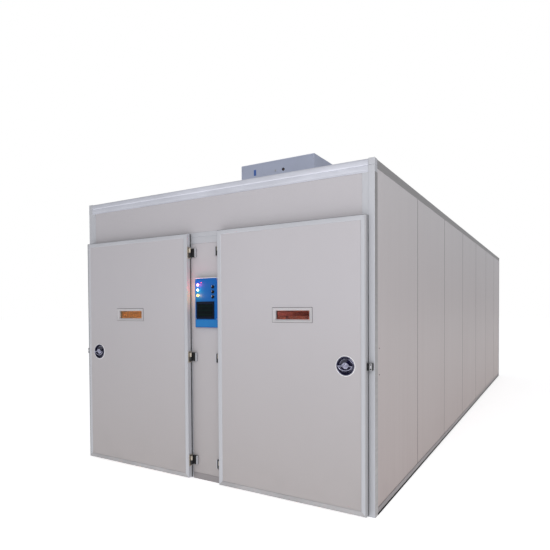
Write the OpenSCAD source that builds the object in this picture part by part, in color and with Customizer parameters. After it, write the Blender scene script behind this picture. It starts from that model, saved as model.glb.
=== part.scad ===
// Walk-in egg incubator: an insulated two-lane cabinet with two hinged doors, ceiling fans and an
// egg-turning trolley. +Z is up, the doors face -Y, the origin is the middle of the footprint.
// Millimetres. Most modules work from the front frame's face: y = 0 there, and +y goes inwards.

/* [Cabinet] */
// Overall width of the cabinet
body_w = 2810; // [2790:10:2850]
// Depth from the front frame's face to the rear face
body_d = 7850; // [7200:10:8000]
// Height of the cabinet, without the box on its roof
body_h = 2400; // [2350:5:2450]
// Thickness of the insulated panels
panel_t = 50; // [45:1:55]
// Spacing of the panel joints along the sides and roof
panel_pitch = 1150; // [1100:10:1200]
// Open joint between two panels
panel_joint = 2; // [1:0.5:4]
// Wall of the aluminium trims and channels
trim_t = 3; // [2:0.5:3]
// Height of the floor channel
base_h = 50; // [40:5:60]
// Height of the front top profile
front_cap_h = 93; // [80:1:100]
// Height of the side and rear top profiles
side_cap_h = 62; // [55:1:70]

/* [Front frame] */
// Half width of the middle pillar's panel
pillar_half = 150; // [148:1:150]
// Width of the upright beside the pillar panel
jamb_w = 40; // [30:1:50]
// Width of a front corner post
post_w = 88; // [80:1:95]
// Height of the door openings
opening_h = 1940; // [1920:5:1960]
// Height of the header bar above the openings
header_h = 90; // [80:1:100]

/* [Doors] */
// Width of one door leaf
door_w = 1210; // [1200:1:1212]
// Distance from the centre line to a door's hinge edge
door_inset = 153; // [153:1:155]
// Height of a door's lower edge above the floor
door_bottom = 15; // [10:1:25]
// Height of a door's upper edge above the floor
door_top = 2020; // [2000:5:2028]
// Thickness of a door's edge profile
door_t = 50; // [48:1:52]
// Gap between the frame's face and the back of the door
door_gap = 8; // [6:0.5:10]
// Visible width of a door's edge profile
door_trim = 36; // [32:1:40]
// Running clearance between the closed gasket and the frame
gasket_gap = 0.4; // [0.3:0.1:1]

/* [Windows] */
// Width of a window frame
window_w = 320; // [280:5:360]
// Height of a window frame
window_h = 105; // [90:1:130]
// Distance from the centre line to a window's middle
window_x = 812; // [780:2:840]
// Height of a window's middle
window_z = 1358; // [1300:2:1400]

/* [Latches] */
// Height of the latches
latch_z = 1015; // [980:5:1060]
// Distance from a door's free edge to its latch
latch_inset = 146; // [140:1:160]
// Radius of the round latch plate
rose_r = 66; // [60:1:72]
// Travel of the latch bolt
bolt_travel = 16; // [12:1:16]

/* [Hinges] */
// Height of the lowest hinge
hinge_low = 158; // [140:1:200]
// Height of the highest hinge
hinge_high = 1865; // [1800:1:1900]
// Radius of a hinge pin
pin_r = 4; // [3:0.5:5]

/* [Control box] */
// Width of the control box
control_w = 233; // [220:1:236]
// Height of the control box
control_h = 401; // [380:1:420]
// Height of the control box's lower edge
control_z = 1255; // [1200:5:1300]
// Sideways offset of the control box from the centre line
control_x = 22; // [15:1:24]
// How far the control box stands out from the frame's face
control_out = 30; // [24:1:32]

/* [Roof vent box] */
// Width of the vent box
vent_w = 842; // [700:2:900]
// Depth of the vent box
vent_d = 500; // [420:10:560]
// Height of the vent box's top above the floor
vent_top = 2900; // [2800:10:3000]
// Distance from the frame's face to the vent box
vent_y = 1155; // [1155:5:1200]
// Outer radius of the exhaust spigot
spigot_r = 100; // [80:5:110]
// Length of the exhaust spigot outside the box
spigot_out = 60; // [50:5:120]
// Length of the exhaust spigot inside the box
spigot_in = 160; // [155:5:200]

/* [Air and water] */
// Radius of the circulation fans
fan_r = 300; // [240:10:340]
// Height of the fan blades
fan_z = 2150; // [2100:10:2180]
// Length of the water pan
pan_len = 700; // [500:20:900]
// Radius of the humidifier roller's discs
roller_r = 85; // [70:1:90]

/* [Trolley] */
// Width of the trolley
trolley_w = 1000; // [980:5:1030]
// Depth of the trolley
trolley_d = 760; // [740:5:780]
// Height of the trolley
trolley_h = 1790; // [1790:5:1900]
// Distance from the centre line to the trolley's middle
trolley_x = 755; // [750:1:760]
// Distance from the frame's face to the trolley's middle
trolley_y = 520; // [500:5:700]
// Radius of the trolley's wheels
wheel_r = 75; // [60:1:75]
// Height of the lowest egg cradle
cradle_z = 370; // [370:5:380]
// Vertical spacing of the egg cradles
cradle_pitch = 165; // [155:1:165]

/* [Hidden] */
$fn = 64;

half_w = body_w / 2;
handle_out = 12;
front_reach = door_gap + door_t + handle_out;
front_y = (front_reach - body_d) / 2;
channel_w = panel_t + 2 * trim_t;
roof_z = body_h - trim_t - panel_t;
cap_z = body_h - side_cap_h;
post_x = half_w - post_w;
wall_x = half_w - trim_t;
shaft_play = 0.05;
hairline = 0.1;
post_groove = 45;
groove_depth = 1.5;
window_lip = 10;
pane_half_w = window_w / 2 - 18;
pane_half_h = window_h / 2 - 15;
pane_depth = 18;

door_free = door_inset + door_w;
door_front = -door_gap - door_t;
door_face = door_front + 2;
door_back = -door_gap - 2;
latch_x = door_free - latch_inset;
hinge_x = 141;
hinge_y = 33;
hinge_heights = [hinge_low, (hinge_low + hinge_high) / 2, hinge_high];
barrel_r = 8;
barrel_h = 35;
hinge_play = 0.3;
hinge_arm_half = 3;
hinge_plate_t = 3;
bolt_y = -23;
bolt_r = 6;
bolt_bore_r = bolt_r + 0.5;
crank_plate_back = -30.4;
crank_plate_t = 2.2;
crank_pin_r = 4;
crank_r = bolt_travel / sqrt(2);
crank_rise = crank_r / sqrt(2);
lock_half_w = 32;
lock_half_h = 27;
rose_wall = 3;
cup_r = rose_r - 6;
cup_back = 23;

control_front = -control_out;
lamp_heights = [1515, 1558, 1601];
knob_heights = [1500, 1540, 1580];
lamp_x = -63;
knob_x = 90;
knob_shaft_r = 3;
lamp_neck_r = 10.5;
control_sheet = 1.5;
display_z = 1394;
display_x = 11;
display_w = 182;
display_h = 140;
bezel_side = 16;
bezel_top = 20;
bezel_step = 6;

vent_rear = vent_y + vent_d;
vent_mid = vent_y + vent_d / 2;
sheet_t = 2;
spigot_z = roof_z + panel_t + 253;
damper_y = vent_rear - 60;
damper_shaft_r = 5;
grommet_x = 80;
grommet_z = 2797;
grommet_r = 12;
roof_opening_w = 500;
roof_opening_d = 260;

fan_places = [2600, 5250];
lamp_places = [900, 3900, 6700];
fan_motor_r = 70;
fan_shaft_r = 8;
pan_y = 3925;
roller_z = 130;
roller_shaft_r = 8;

tube = 30;
frame_low = 110;
axle_r = 10;
axle_y = 260;
pivot_r = 8;
link_pin_r = 5;
link_offset = 200;
link_x = 446;
cradle_count = 8;
cradle_half_x = 434;
cradle_half_y = 310;
pivot_bar_x = 478;

// ---- shared pieces ----

module bar(x0, x1, y0, y1, z0, z1) {
    translate([x0, y0, z0]) cube([x1 - x0, y1 - y0, z1 - z0]);
}

// One member of a joined frame: a bar that stops a hairline short of its neighbours
module member(x0, x1, y0, y1, z0, z1) {
    g = hairline / 2;
    bar(x0 + g, x1 - g, y0 + g, y1 - g, z0 + g, z1 - g);
}

// A round rod along Y from y0 to y1, through (x, z)
module rod_y(x, z, r, y0, y1) {
    translate([x, y0, z]) rotate([-90, 0, 0]) cylinder(r = r, h = y1 - y0);
}

// A round rod along X from x0 to x1, through (y, z)
module rod_x(y, z, r, x0, x1) {
    translate([x0, y, z]) rotate([0, 90, 0]) cylinder(r = r, h = x1 - x0);
}

module rod_z(x, y, r, z0, z1) {
    translate([x, y, z0]) cylinder(r = r, h = z1 - z0);
}

// Moves the front frame's face from y = 0 to its place in the part's own frame
module from_front() {
    translate([0, front_y, 0]) children();
}

module both_sides() {
    children();
    mirror([1, 0, 0]) children();
}

module side(s) {
    if (s > 0) children();
    else mirror([1, 0, 0]) children();
}

// ---- cabinet shell ----

panel_count = ceil((body_d - channel_w) / panel_pitch);

function seam(k) =
    k == 0 ? channel_w
    : k == panel_count ? body_d - channel_w
    : k * panel_pitch;

function joint_lo(k) = k == 0 ? 0 : panel_joint / 2;
function joint_hi(k) = k == panel_count - 1 ? 0 : panel_joint / 2;

module channel_along_y(x0, y0, y1) {
    difference() {
        bar(x0, x0 + channel_w, y0, y1, 0, base_h);
        bar(x0 + trim_t, x0 + channel_w - trim_t, y0 - 1, y1 + 1, trim_t, base_h + 1);
    }
}

module channel_along_x(x0, x1, y0) {
    difference() {
        bar(x0, x1, y0, y0 + channel_w, 0, base_h);
        bar(x0 - 1, x1 + 1, y0 + trim_t, y0 + channel_w - trim_t, trim_t, base_h + 1);
    }
}

module base_channel() {
    color("silver") from_front() {
        both_sides() channel_along_y(half_w - channel_w, channel_w, body_d - channel_w);
        channel_along_x(-half_w + channel_w, half_w - channel_w, body_d - channel_w);
        channel_along_x(-pillar_half, pillar_half, 0);
    }
}

module side_wall_panels() {
    color("gainsboro") from_front() both_sides() for (k = [0 : panel_count - 1])
        bar(wall_x - panel_t, wall_x, seam(k) + joint_lo(k), seam(k + 1) - joint_hi(k),
            trim_t, roof_z);
}

module rear_wall_panels() {
    inner = half_w - channel_w;
    third = 2 * inner / 3;
    color("gainsboro") from_front() for (k = [0 : 2])
        bar(-inner + k * third + (k > 0 ? panel_joint / 2 : 0),
            -inner + (k + 1) * third - (k < 2 ? panel_joint / 2 : 0),
            body_d - trim_t - panel_t, body_d - trim_t, trim_t, cap_z);
}

module roof_panels() {
    color("gainsboro") from_front() difference() {
        for (k = [0 : panel_count - 1])
            bar(-wall_x, wall_x, seam(k) + joint_lo(k), seam(k + 1) - joint_hi(k),
                roof_z, roof_z + panel_t);
        bar(-roof_opening_w / 2, roof_opening_w / 2, vent_mid - roof_opening_d / 2,
            vent_mid + roof_opening_d / 2, roof_z - 1, body_h);
    }
}

module front_panels() {
    header_top = body_h - front_cap_h;
    color("gainsboro") from_front() {
        bar(-post_x, post_x, trim_t, trim_t + panel_t, opening_h + header_h, header_top);
        bar(-pillar_half, pillar_half, trim_t, trim_t + panel_t, trim_t, opening_h);
    }
}

// Front posts have a broad face with a shallow groove that splits it into two bands
module corner_posts() {
    color("silver") from_front() both_sides() {
        difference() {
            bar(post_x, half_w, 0, channel_w, 0, body_h - front_cap_h);
            bar(half_w - post_groove - 1, half_w - post_groove + 1, -1, groove_depth, -1, body_h);
        }
        bar(half_w - channel_w, half_w, body_d - channel_w, body_d, 0, cap_z);
    }
}

module roof_edge_profiles() {
    color("silver") from_front() {
        bar(-half_w, half_w, 0, channel_w, body_h - front_cap_h, body_h);
        bar(-half_w, half_w, body_d - channel_w, body_d, cap_z, body_h);
        both_sides() difference() {
            bar(half_w - channel_w, half_w, channel_w + hairline, body_d - channel_w - hairline,
                cap_z, body_h);
            bar(0, wall_x, channel_w - 1, body_d, 0, body_h - trim_t);
        }
    }
}

module door_frames() {
    color("silver") from_front() {
        both_sides()
            bar(pillar_half, pillar_half + jamb_w, 0, channel_w, 0, opening_h - hairline);
        bar(-post_x, post_x, 0, channel_w, opening_h, opening_h + header_h);
    }
}

// ---- hinges and latches ----

// Pillar side of one hinge: foot, arm, lower barrel and the fixed pin
module pillar_leaf(z) {
    foot_inner = 100;
    foot_out = 16;
    barrel_top = z - hinge_play;
    bar(foot_inner, hinge_x + 5, -foot_out, trim_t, z - barrel_h, z + barrel_h);
    bar(hinge_x - hinge_arm_half, hinge_x + hinge_arm_half, -hinge_y, 1 - foot_out,
        z - barrel_h, barrel_top);
    rod_z(hinge_x, -hinge_y, barrel_r, z - barrel_h, barrel_top);
    rod_z(hinge_x, -hinge_y, pin_r, z - barrel_h, z + barrel_h - 1);
}

module hinge_pillar_leaves() {
    color("dimgray") from_front() both_sides() for (z = hinge_heights) pillar_leaf(z);
}

// Door side of one hinge: plate on the door's edge, arm and upper barrel
module door_leaf_hinge(z) {
    plate_half_w = 20;
    plate_half_h = 47.5;
    barrel_low = z + hinge_play;
    difference() {
        union() {
            bar(door_inset - hinge_plate_t, door_inset, -hinge_y - plate_half_w,
                -hinge_y + plate_half_w, z - plate_half_h, z + plate_half_h);
            bar(hinge_x, door_inset - 1, -hinge_y - hinge_arm_half, -hinge_y + hinge_arm_half,
                barrel_low, z + barrel_h);
            rod_z(hinge_x, -hinge_y, barrel_r, barrel_low, z + barrel_h);
        }
        rod_z(hinge_x, -hinge_y, pin_r + shaft_play, z - 50, z + 50);
    }
}

module door_hinges(s) {
    color("silver") from_front() side(s) for (z = hinge_heights) door_leaf_hinge(z);
}

// A keeper on each corner post, open towards the bolt
module latch_keepers() {
    in_x = door_free + 4;
    out_x = door_free + 32;
    keeper_front = -39;
    pocket_front = -31;
    pocket_back = -12;
    end_t = 6;
    z0 = latch_z - 24;
    z1 = latch_z + 24;
    color("dimgray") from_front() both_sides() {
        member(in_x, out_x, keeper_front, pocket_front, z0, z1);
        member(in_x, out_x, pocket_back, 0, z0, z1);
        member(out_x - end_t, out_x, pocket_front, pocket_back, z0, z1);
    }
}

// ---- doors ----

module door_profile(s) {
    inner_lo = door_inset + door_trim;
    inner_hi = door_free - door_trim;
    color("silver") from_front() side(s) {
        member(door_inset, inner_lo, door_front, -door_gap, door_bottom, door_top);
        difference() {
            member(inner_hi, door_free, door_front, -door_gap, door_bottom, door_top);
            rod_x(bolt_y, latch_z, bolt_bore_r, inner_hi - 1, door_free + 1);
        }
        member(inner_lo, inner_hi, door_front, -door_gap, door_bottom, door_bottom + door_trim);
        member(inner_lo, inner_hi, door_front, -door_gap, door_top - door_trim, door_top);
    }
}

module door_panel(s) {
    inner_hi = door_free - door_trim;
    cut_w = window_w / 2 - window_lip;
    cut_h = window_h / 2 - window_lip;
    color("gainsboro") from_front() side(s) difference() {
        bar(door_inset + door_trim, inner_hi, door_face, door_back,
            door_bottom + door_trim, door_top - door_trim);
        bar(window_x - cut_w, window_x + cut_w, door_front - 1, 0, window_z - cut_h, window_z + cut_h);
        rod_y(latch_x, latch_z, cup_r, door_front - 1, door_face + cup_back);
        bar(latch_x + 2 - lock_half_w, latch_x + 2 + lock_half_w, door_face + cup_back - 1, -16,
            latch_z + 3 - lock_half_h, latch_z + 3 + lock_half_h);
        rod_x(bolt_y, latch_z, bolt_bore_r, latch_x, door_free);
    }
}

module door_gasket(s) {
    edge = 14;
    strip = 20;
    in_lo = door_inset + edge;
    in_hi = door_free - edge;
    back = -door_gap;
    front = -gasket_gap;
    z_lo = door_bottom + 8;
    z_hi = door_top - 40;
    color("dimgray") from_front() side(s) {
        member(in_lo, in_lo + strip, back, front, z_lo, z_hi);
        member(in_hi - strip, in_hi, back, front, z_lo, z_hi);
        member(in_lo + strip, in_hi - strip, back, front, z_hi - strip, z_hi);
        member(in_lo + strip, in_hi - strip, back, front, z_lo, z_lo + strip);
    }
}

// A flange outside, a sleeve through the door and a step that holds the panes
module window_frame(s) {
    w = window_w / 2;
    h = window_h / 2;
    flange_t = 4;
    sight_w = w - 24;
    sight_h = h - 20;
    color("whitesmoke") from_front() side(s) difference() {
        union() {
            bar(window_x - w, window_x + w, door_face - flange_t, door_face,
                window_z - h, window_z + h);
            bar(window_x - w + window_lip, window_x + w - window_lip, door_face, door_back,
                window_z - h + window_lip, window_z + h - window_lip);
        }
        bar(window_x - sight_w, window_x + sight_w, door_front - 3, 0,
            window_z - sight_h, window_z + sight_h);
        bar(window_x - pane_half_w, window_x + pane_half_w, door_face + pane_depth, 0,
            window_z - pane_half_h, window_z + pane_half_h);
    }
}

// Two panes, the outer one against the step
module window_glass(s) {
    pane_t = 5;
    pane_gap = 11;
    color([0.8, 0.5, 0.25, 0.4]) from_front() side(s)
        for (y = [door_face + pane_depth, door_face + pane_depth + pane_t + pane_gap])
            bar(window_x - pane_half_w, window_x + pane_half_w, y, y + pane_t,
                window_z - pane_half_h, window_z + pane_half_h);
}

// A round dished plate, turned about the spindle's axis
module latch_rose(s) {
    bore_r = pivot_r + shaft_play;
    inner_r = cup_r - rose_wall;
    floor_y = cup_back - rose_wall;
    rim_t = 4;
    color("midnightblue") from_front() side(s)
        translate([latch_x, door_face, latch_z]) rotate([-90, 0, 0]) rotate_extrude()
            polygon([
                [bore_r, floor_y], [inner_r, floor_y], [inner_r, -rim_t], [rose_r, -rim_t],
                [rose_r, 0], [cup_r, 0], [cup_r, cup_back], [bore_r, cup_back]
            ]);
}

// Lever, hub, spindle and the crank that drives the bolt
module latch_handle(s) {
    lever_end_r = 8;
    lever_reach = rose_r - 14 - lever_end_r;
    hub_r = 22;
    crank_plate_r = 17;
    color("lightgray") from_front() side(s) translate([latch_x, 0, latch_z]) {
        hull() for (x = [-lever_reach, lever_reach])
            rod_y(x, 0, lever_end_r, door_front - handle_out, door_front, $fn = 32);
        rod_y(0, 0, hub_r, door_front - 4, door_front + 6);
        rod_y(0, 0, pivot_r, door_front, crank_plate_back - 1);
        rod_y(0, 0, crank_plate_r, crank_plate_back - crank_plate_t, crank_plate_back);
        rod_y(-crank_rise, crank_rise, crank_pin_r, crank_plate_back - 1, bolt_y + 4);
    }
}

// Round bolt with a slotted yoke that rides on the crank pin
module latch_bolt(s) {
    slot = crank_pin_r + 0.6;
    pin_x = latch_x - bolt_travel / 2;
    yoke_half_w = 12;
    yoke_half_t = 3;
    color("lightgray") from_front() side(s) {
        difference() {
            bar(pin_x - yoke_half_w, pin_x + yoke_half_w, bolt_y - yoke_half_t, bolt_y + yoke_half_t,
                latch_z - bolt_r, latch_z + crank_r + 10);
            bar(pin_x - slot, pin_x + slot, bolt_y - yoke_half_t - 1, bolt_y + yoke_half_t + 1,
                latch_z + crank_rise - slot, latch_z + crank_r + slot);
        }
        rod_x(bolt_y, latch_z, bolt_r, pin_x + yoke_half_w, door_free - 2);
    }
}

// ---- control box ----

// Folded sheet housing, open at the back where it meets the pillar
module control_box() {
    x0 = control_x - control_w / 2;
    x1 = control_x + control_w / 2;
    z1 = control_z + control_h;
    t = control_sheet;
    opening_w = display_w / 2 - bezel_step;
    opening_h2 = display_h / 2 - bezel_step;
    color("royalblue") from_front() difference() {
        bar(x0, x1, control_front, trim_t, control_z, z1);
        bar(x0 + t, x1 - t, control_front + t, trim_t + 1, control_z + t, z1 - t);
        for (z = lamp_heights) rod_y(lamp_x, z, lamp_neck_r + 0.5, control_front - 1, 0);
        for (z = knob_heights)
            rod_y(knob_x, z, knob_shaft_r + shaft_play, control_front - 1, control_front + t + 0.5);
        bar(display_x - opening_w, display_x + opening_w, control_front - 1, 0,
            display_z - opening_h2, display_z + opening_h2);
    }
}

module display_bezel() {
    w = display_w / 2;
    h = display_h / 2;
    color("black") from_front() translate([display_x, control_front, display_z]) difference() {
        union() {
            bar(-w, w, -4, 0, -h, h);
            bar(-w + bezel_step + 0.5, w - bezel_step - 0.5, 0, 12,
                -h + bezel_step + 0.5, h - bezel_step - 0.5);
        }
        bar(-w + bezel_side, w - bezel_side, -5, 13, -h + bezel_top, h - bezel_top);
    }
}

module display_screen() {
    w = display_w / 2 - bezel_side;
    h = display_h / 2 - bezel_top;
    color([0.05, 0.12, 0.07]) from_front() translate([display_x, control_front, display_z])
        bar(-w, w, -2, 4, -h, h);
}

// Lens and neck of each lamp, turned about its own axis
module indicator_lamps() {
    color("white") from_front() for (z = lamp_heights)
        translate([lamp_x, control_front, z]) rotate([90, 0, 0]) rotate_extrude()
            polygon([
                [0, -14], [lamp_neck_r, -14], [lamp_neck_r, 0], [12.5, 0], [12.5, 4], [10, 8],
                [5, 10], [0, 10.5]
            ]);
}

// Skirt, ridge and shaft of one selector knob
module selector_knob(z) {
    skirt_r = 13;
    ridge_half = 3.5;
    knob_out = 18;
    color([0.06, 0.06, 0.07]) from_front() translate([knob_x, control_front, z]) {
        rod_y(0, 0, skirt_r, -5, -0.5);
        rod_y(0, 0, skirt_r - 2.5, -8, -4);
        bar(-ridge_half, ridge_half, -knob_out, -4, 2 - skirt_r, skirt_r - 2);
        rod_y(0, 0, knob_shaft_r, -4, 14);
    }
}

module upper_knob() {
    selector_knob(knob_heights[2]);
}

module middle_knob() {
    selector_knob(knob_heights[1]);
}

module lower_knob() {
    selector_knob(knob_heights[0]);
}

// ---- roof vent box ----

module vent_box() {
    w = vent_w / 2;
    z0 = roof_z + panel_t;
    z1 = vent_top - sheet_t;
    flange = 25;
    color("lightsteelblue") from_front() {
        difference() {
            member(-w, w, vent_y, vent_y + sheet_t, z0, z1);
            rod_y(grommet_x, grommet_z, grommet_r, vent_y - 1, vent_y + sheet_t + 1);
        }
        difference() {
            member(-w, w, vent_rear - sheet_t, vent_rear, z0, z1);
            rod_y(0, spigot_z, spigot_r, vent_rear - 5, vent_rear + 5);
        }
        both_sides() member(w - sheet_t, w, vent_y + sheet_t, vent_rear - sheet_t, z0, z1);
        member(-w, w, vent_y, vent_rear, z1, vent_top);
        both_sides() member(w, w + flange, vent_y, vent_rear, z0, z0 + sheet_t);
        member(-w, w, vent_rear, vent_rear + flange, z0, z0 + sheet_t);
        member(-w, w, vent_y - flange, vent_y, z0, z0 + sheet_t);
    }
}

// A flanged tube for the exhaust duct, bored across for the damper's shaft
module exhaust_spigot() {
    color("silver") from_front() difference() {
        union() {
            rod_y(0, spigot_z, spigot_r, vent_rear - spigot_in, vent_rear + spigot_out);
            rod_y(0, spigot_z, spigot_r + 20, vent_rear, vent_rear + sheet_t);
        }
        rod_y(0, spigot_z, spigot_r - sheet_t, vent_rear - spigot_in - 1,
              vent_rear + spigot_out + 1);
        rod_x(damper_y, spigot_z, damper_shaft_r + shaft_play, -spigot_r - 5, spigot_r + 5);
    }
}

// Butterfly disc, drawn open, with its shaft
module vent_damper() {
    disc_r = spigot_r - sheet_t - 1.5;
    disc_t = 3;
    color("silver") from_front() {
        rod_z(0, damper_y, disc_r, spigot_z - disc_t / 2, spigot_z + disc_t / 2);
        rod_x(damper_y, spigot_z, damper_shaft_r, -spigot_r - 4, spigot_r + 14);
    }
}

module damper_motor() {
    half_d = 30;
    half_h = 45;
    color("whitesmoke") from_front() difference() {
        bar(spigot_r - 4, spigot_r + 66, damper_y - half_d, damper_y + half_d,
            spigot_z - half_h, spigot_z + half_h);
        rod_y(0, spigot_z, spigot_r + 0.3, damper_y - half_d - 1, damper_y + half_d + 1);
        rod_x(damper_y, spigot_z, damper_shaft_r + shaft_play, 0, spigot_r + 16);
    }
}

// Rubber ring in the front sheet, for the supply cable
module cable_grommet() {
    bore_r = grommet_r - 4;
    lip_r = grommet_r + 3;
    lip_t = 4;
    color([0.1, 0.1, 0.1]) from_front() translate([grommet_x, vent_y, grommet_z])
        rotate([-90, 0, 0]) rotate_extrude()
            polygon([
                [bore_r, -lip_t], [lip_r, -lip_t], [lip_r, 0], [grommet_r, 0],
                [grommet_r, sheet_t], [lip_r, sheet_t], [lip_r, sheet_t + lip_t],
                [bore_r, sheet_t + lip_t]
            ]);
}

// ---- air and water ----

// Ceiling plate, two hangers and a motor for each fan
module fan_motors() {
    plate_t = 6;
    plate_half_x = 150;
    plate_half_y = 110;
    motor_low = fan_z + 40;
    motor_high = fan_z + 160;
    color("slategray") from_front() for (y = fan_places) {
        bar(-plate_half_x, plate_half_x, y - plate_half_y, y + plate_half_y, roof_z - plate_t, roof_z);
        difference() {
            rod_z(0, y, fan_motor_r, motor_low, motor_high);
            rod_z(0, y, fan_shaft_r + shaft_play, motor_low - 1, motor_low + 50);
        }
        both_sides()
            bar(fan_motor_r - 8, fan_motor_r + 5, y - 25, y + 25, motor_low + 20, roof_z - plate_t);
    }
}

module fan_rotor(y) {
    blades = 6;
    blade_pitch = 28;
    blade_half = 45;
    hub_r = 48;
    hub_half_h = 28;
    color("lightgray") from_front() translate([0, y, fan_z]) {
        rod_z(0, 0, hub_r, -hub_half_h, hub_half_h);
        rod_z(0, 0, fan_shaft_r, hub_half_h - 1, hub_half_h + 57);
        for (k = [0 : blades - 1]) rotate([0, 0, k * 360 / blades]) rotate([blade_pitch, 0, 0])
            bar(hub_r - 8, fan_r, -blade_half, blade_half, -1.5, 1.5);
    }
}

module front_fan_rotor() {
    fan_rotor(fan_places[0]);
}

module rear_fan_rotor() {
    fan_rotor(fan_places[1]);
}

// One hairpin along Y: two straight legs and a round bend at the far end, in two ceiling hangers
module hairpin(x, y, z, r, spread, reach) {
    legs = [x - spread, x + spread];
    hanger_t = 4;
    for (leg = legs) rod_y(leg, z, r, y - reach, y + reach);
    translate([x, y + reach, z]) rotate_extrude(angle = 180) translate([spread, 0]) circle(r = r);
    for (dy = [-0.8 * reach, 0.7 * reach]) difference() {
        bar(x - spread - 12, x + spread + 12, y + dy, y + dy + hanger_t, z - 14, roof_z);
        for (leg = legs) rod_y(leg, z, r, y - reach, y + reach);
    }
}

module heater_elements() {
    color("dimgray") from_front() for (y = fan_places) both_sides()
        hairpin(420, y, fan_z + 60, 6, 40, 450);
}

module cooling_coils() {
    color("peru") from_front() for (y = fan_places, x = [620, 860]) both_sides()
        hairpin(x, y, fan_z + 120, 8, 60, 650);
}

// Folded pan on four feet, with two bearings for the roller
module humidifier_pan() {
    w = 140;
    lo = pan_y - pan_len / 2;
    hi = pan_y + pan_len / 2;
    z0 = 30;
    z1 = 150;
    end_t = 8;
    foot = 40;
    color("silver") from_front() {
        member(-w, w, lo, hi, z0, z0 + sheet_t);
        both_sides() member(w - sheet_t, w, lo, hi, z0 + sheet_t, z1);
        for (y = [lo, hi - end_t]) difference() {
            member(-w + sheet_t, w - sheet_t, y, y + end_t, z0 + sheet_t, z1);
            rod_y(0, roller_z, roller_shaft_r + shaft_play, lo - 1, hi + 1);
        }
        both_sides() for (y = [lo, hi - foot]) member(w - foot, w, y, y + foot, 0, z0);
    }
}

// A shaft with evenly spaced wetting discs
module humidifier_roller() {
    lo = pan_y - pan_len / 2;
    hi = pan_y + pan_len / 2;
    discs = 8;
    pitch = pan_len / (discs + 1);
    half_t = 4;
    color("powderblue") from_front() {
        rod_y(0, roller_z, roller_shaft_r, lo - 6, hi + 6);
        for (k = [1 : discs])
            rod_y(0, roller_z, roller_r, lo + k * pitch - half_t, lo + k * pitch + half_t);
    }
}

module ceiling_lamps() {
    half_len = 350;
    tube_half = 330;
    base_low = roof_z - 30;
    socket_t = 10;
    color("white") from_front() both_sides() for (y = lamp_places) {
        bar(trolley_x - 35, trolley_x + 35, y - half_len, y + half_len, base_low, roof_z);
        rod_y(trolley_x, base_low - 18, 14, y - tube_half, y + tube_half);
        for (dy = [-tube_half - socket_t, tube_half])
            bar(trolley_x - 16, trolley_x + 16, y + dy, y + dy + socket_t, base_low - 36, base_low);
    }
}

// ---- trolley ----

module at_trolley() {
    translate([trolley_x, front_y + trolley_y, 0]) children();
}

module corners() {
    for (sx = [0, 1]) mirror([sx, 0, 0]) for (sy = [0, 1]) mirror([0, sy, 0]) children();
}

function cradle_height(k) = cradle_z + (k - 1) * cradle_pitch;

// Square-tube frame, two pivot bars and four bearing plates, each a separate piece
module trolley_frame() {
    x0 = trolley_w / 2 - tube;
    y0 = trolley_d / 2 - tube;
    plate_t = 8;
    color("lightslategray") at_trolley() {
        corners() member(x0, x0 + tube, y0, y0 + tube, frame_low, trolley_h);
        for (z = [frame_low, trolley_h - tube]) {
            for (sy = [0, 1]) mirror([0, sy, 0]) member(-x0, x0, y0, y0 + tube, z, z + tube);
            both_sides() member(x0, x0 + tube, -y0, y0, z, z + tube);
        }
        both_sides() difference() {
            member(pivot_bar_x, pivot_bar_x + plate_t, -20, 20, frame_low + tube, trolley_h - tube);
            for (k = [1 : cradle_count])
                rod_x(0, cradle_height(k), pivot_r + shaft_play, pivot_bar_x - 1,
                      pivot_bar_x + plate_t + 1);
        }
        corners() difference() {
            member(x0 - plate_t, x0, axle_y - 30, axle_y + 30, wheel_r - 20, frame_low + tube);
            rod_x(axle_y, wheel_r, axle_r + shaft_play, x0 - plate_t - 1, x0 + 1);
        }
    }
}

// Axle and two wheels that turn together
module wheel_set(y) {
    x0 = trolley_w / 2 - tube;
    wheel_in = 410;
    wheel_out = wheel_in + 40;
    color("dimgray") at_trolley() {
        rod_x(y, wheel_r, axle_r, -wheel_in, wheel_in);
        both_sides() rod_x(y, wheel_r, wheel_r, wheel_in + hairline, wheel_out);
        both_sides() rod_x(y, wheel_r, axle_r, wheel_out + hairline, x0 + 4);
    }
}

module trolley_front_wheels() {
    wheel_set(-axle_y);
}

module trolley_rear_wheels() {
    wheel_set(axle_y);
}

// Upright bar that ties every cradle's crank pin, so all of them tilt together
module turning_link() {
    play = 0.5;
    margin = 22;
    half_w = 15;
    link_t = 6;
    color("lightslategray") at_trolley() difference() {
        bar(link_x, link_x + link_t, link_offset - half_w, link_offset + half_w,
            cradle_height(1) - margin, cradle_height(cradle_count) + margin);
        for (k = [1 : cradle_count])
            rod_x(link_offset, cradle_height(k), link_pin_r + play, link_x - 1, link_x + link_t + 1);
    }
}

// A tilting tray: four side bars, a floor, two pivot pins and a crank pin
module egg_cradle(k) {
    z = cradle_height(k);
    hx = cradle_half_x;
    hy = cradle_half_y;
    rim = 15;
    t = 8;
    floor_t = 6;
    color("lightslategray") at_trolley() {
        both_sides() member(hx - t, hx, -hy, hy, z - rim, z + rim);
        for (sy = [0, 1]) mirror([0, sy, 0]) member(-hx + t, hx - t, hy - t, hy, z - rim, z + rim);
        member(-hx + t, hx - t, -hy + t, hy - t, z - rim, z - rim + floor_t);
        both_sides() rod_x(0, z, pivot_r, hx + hairline, pivot_bar_x + 12);
        rod_x(link_offset, z, link_pin_r, hx + hairline, link_x + 10);
    }
}

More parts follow.
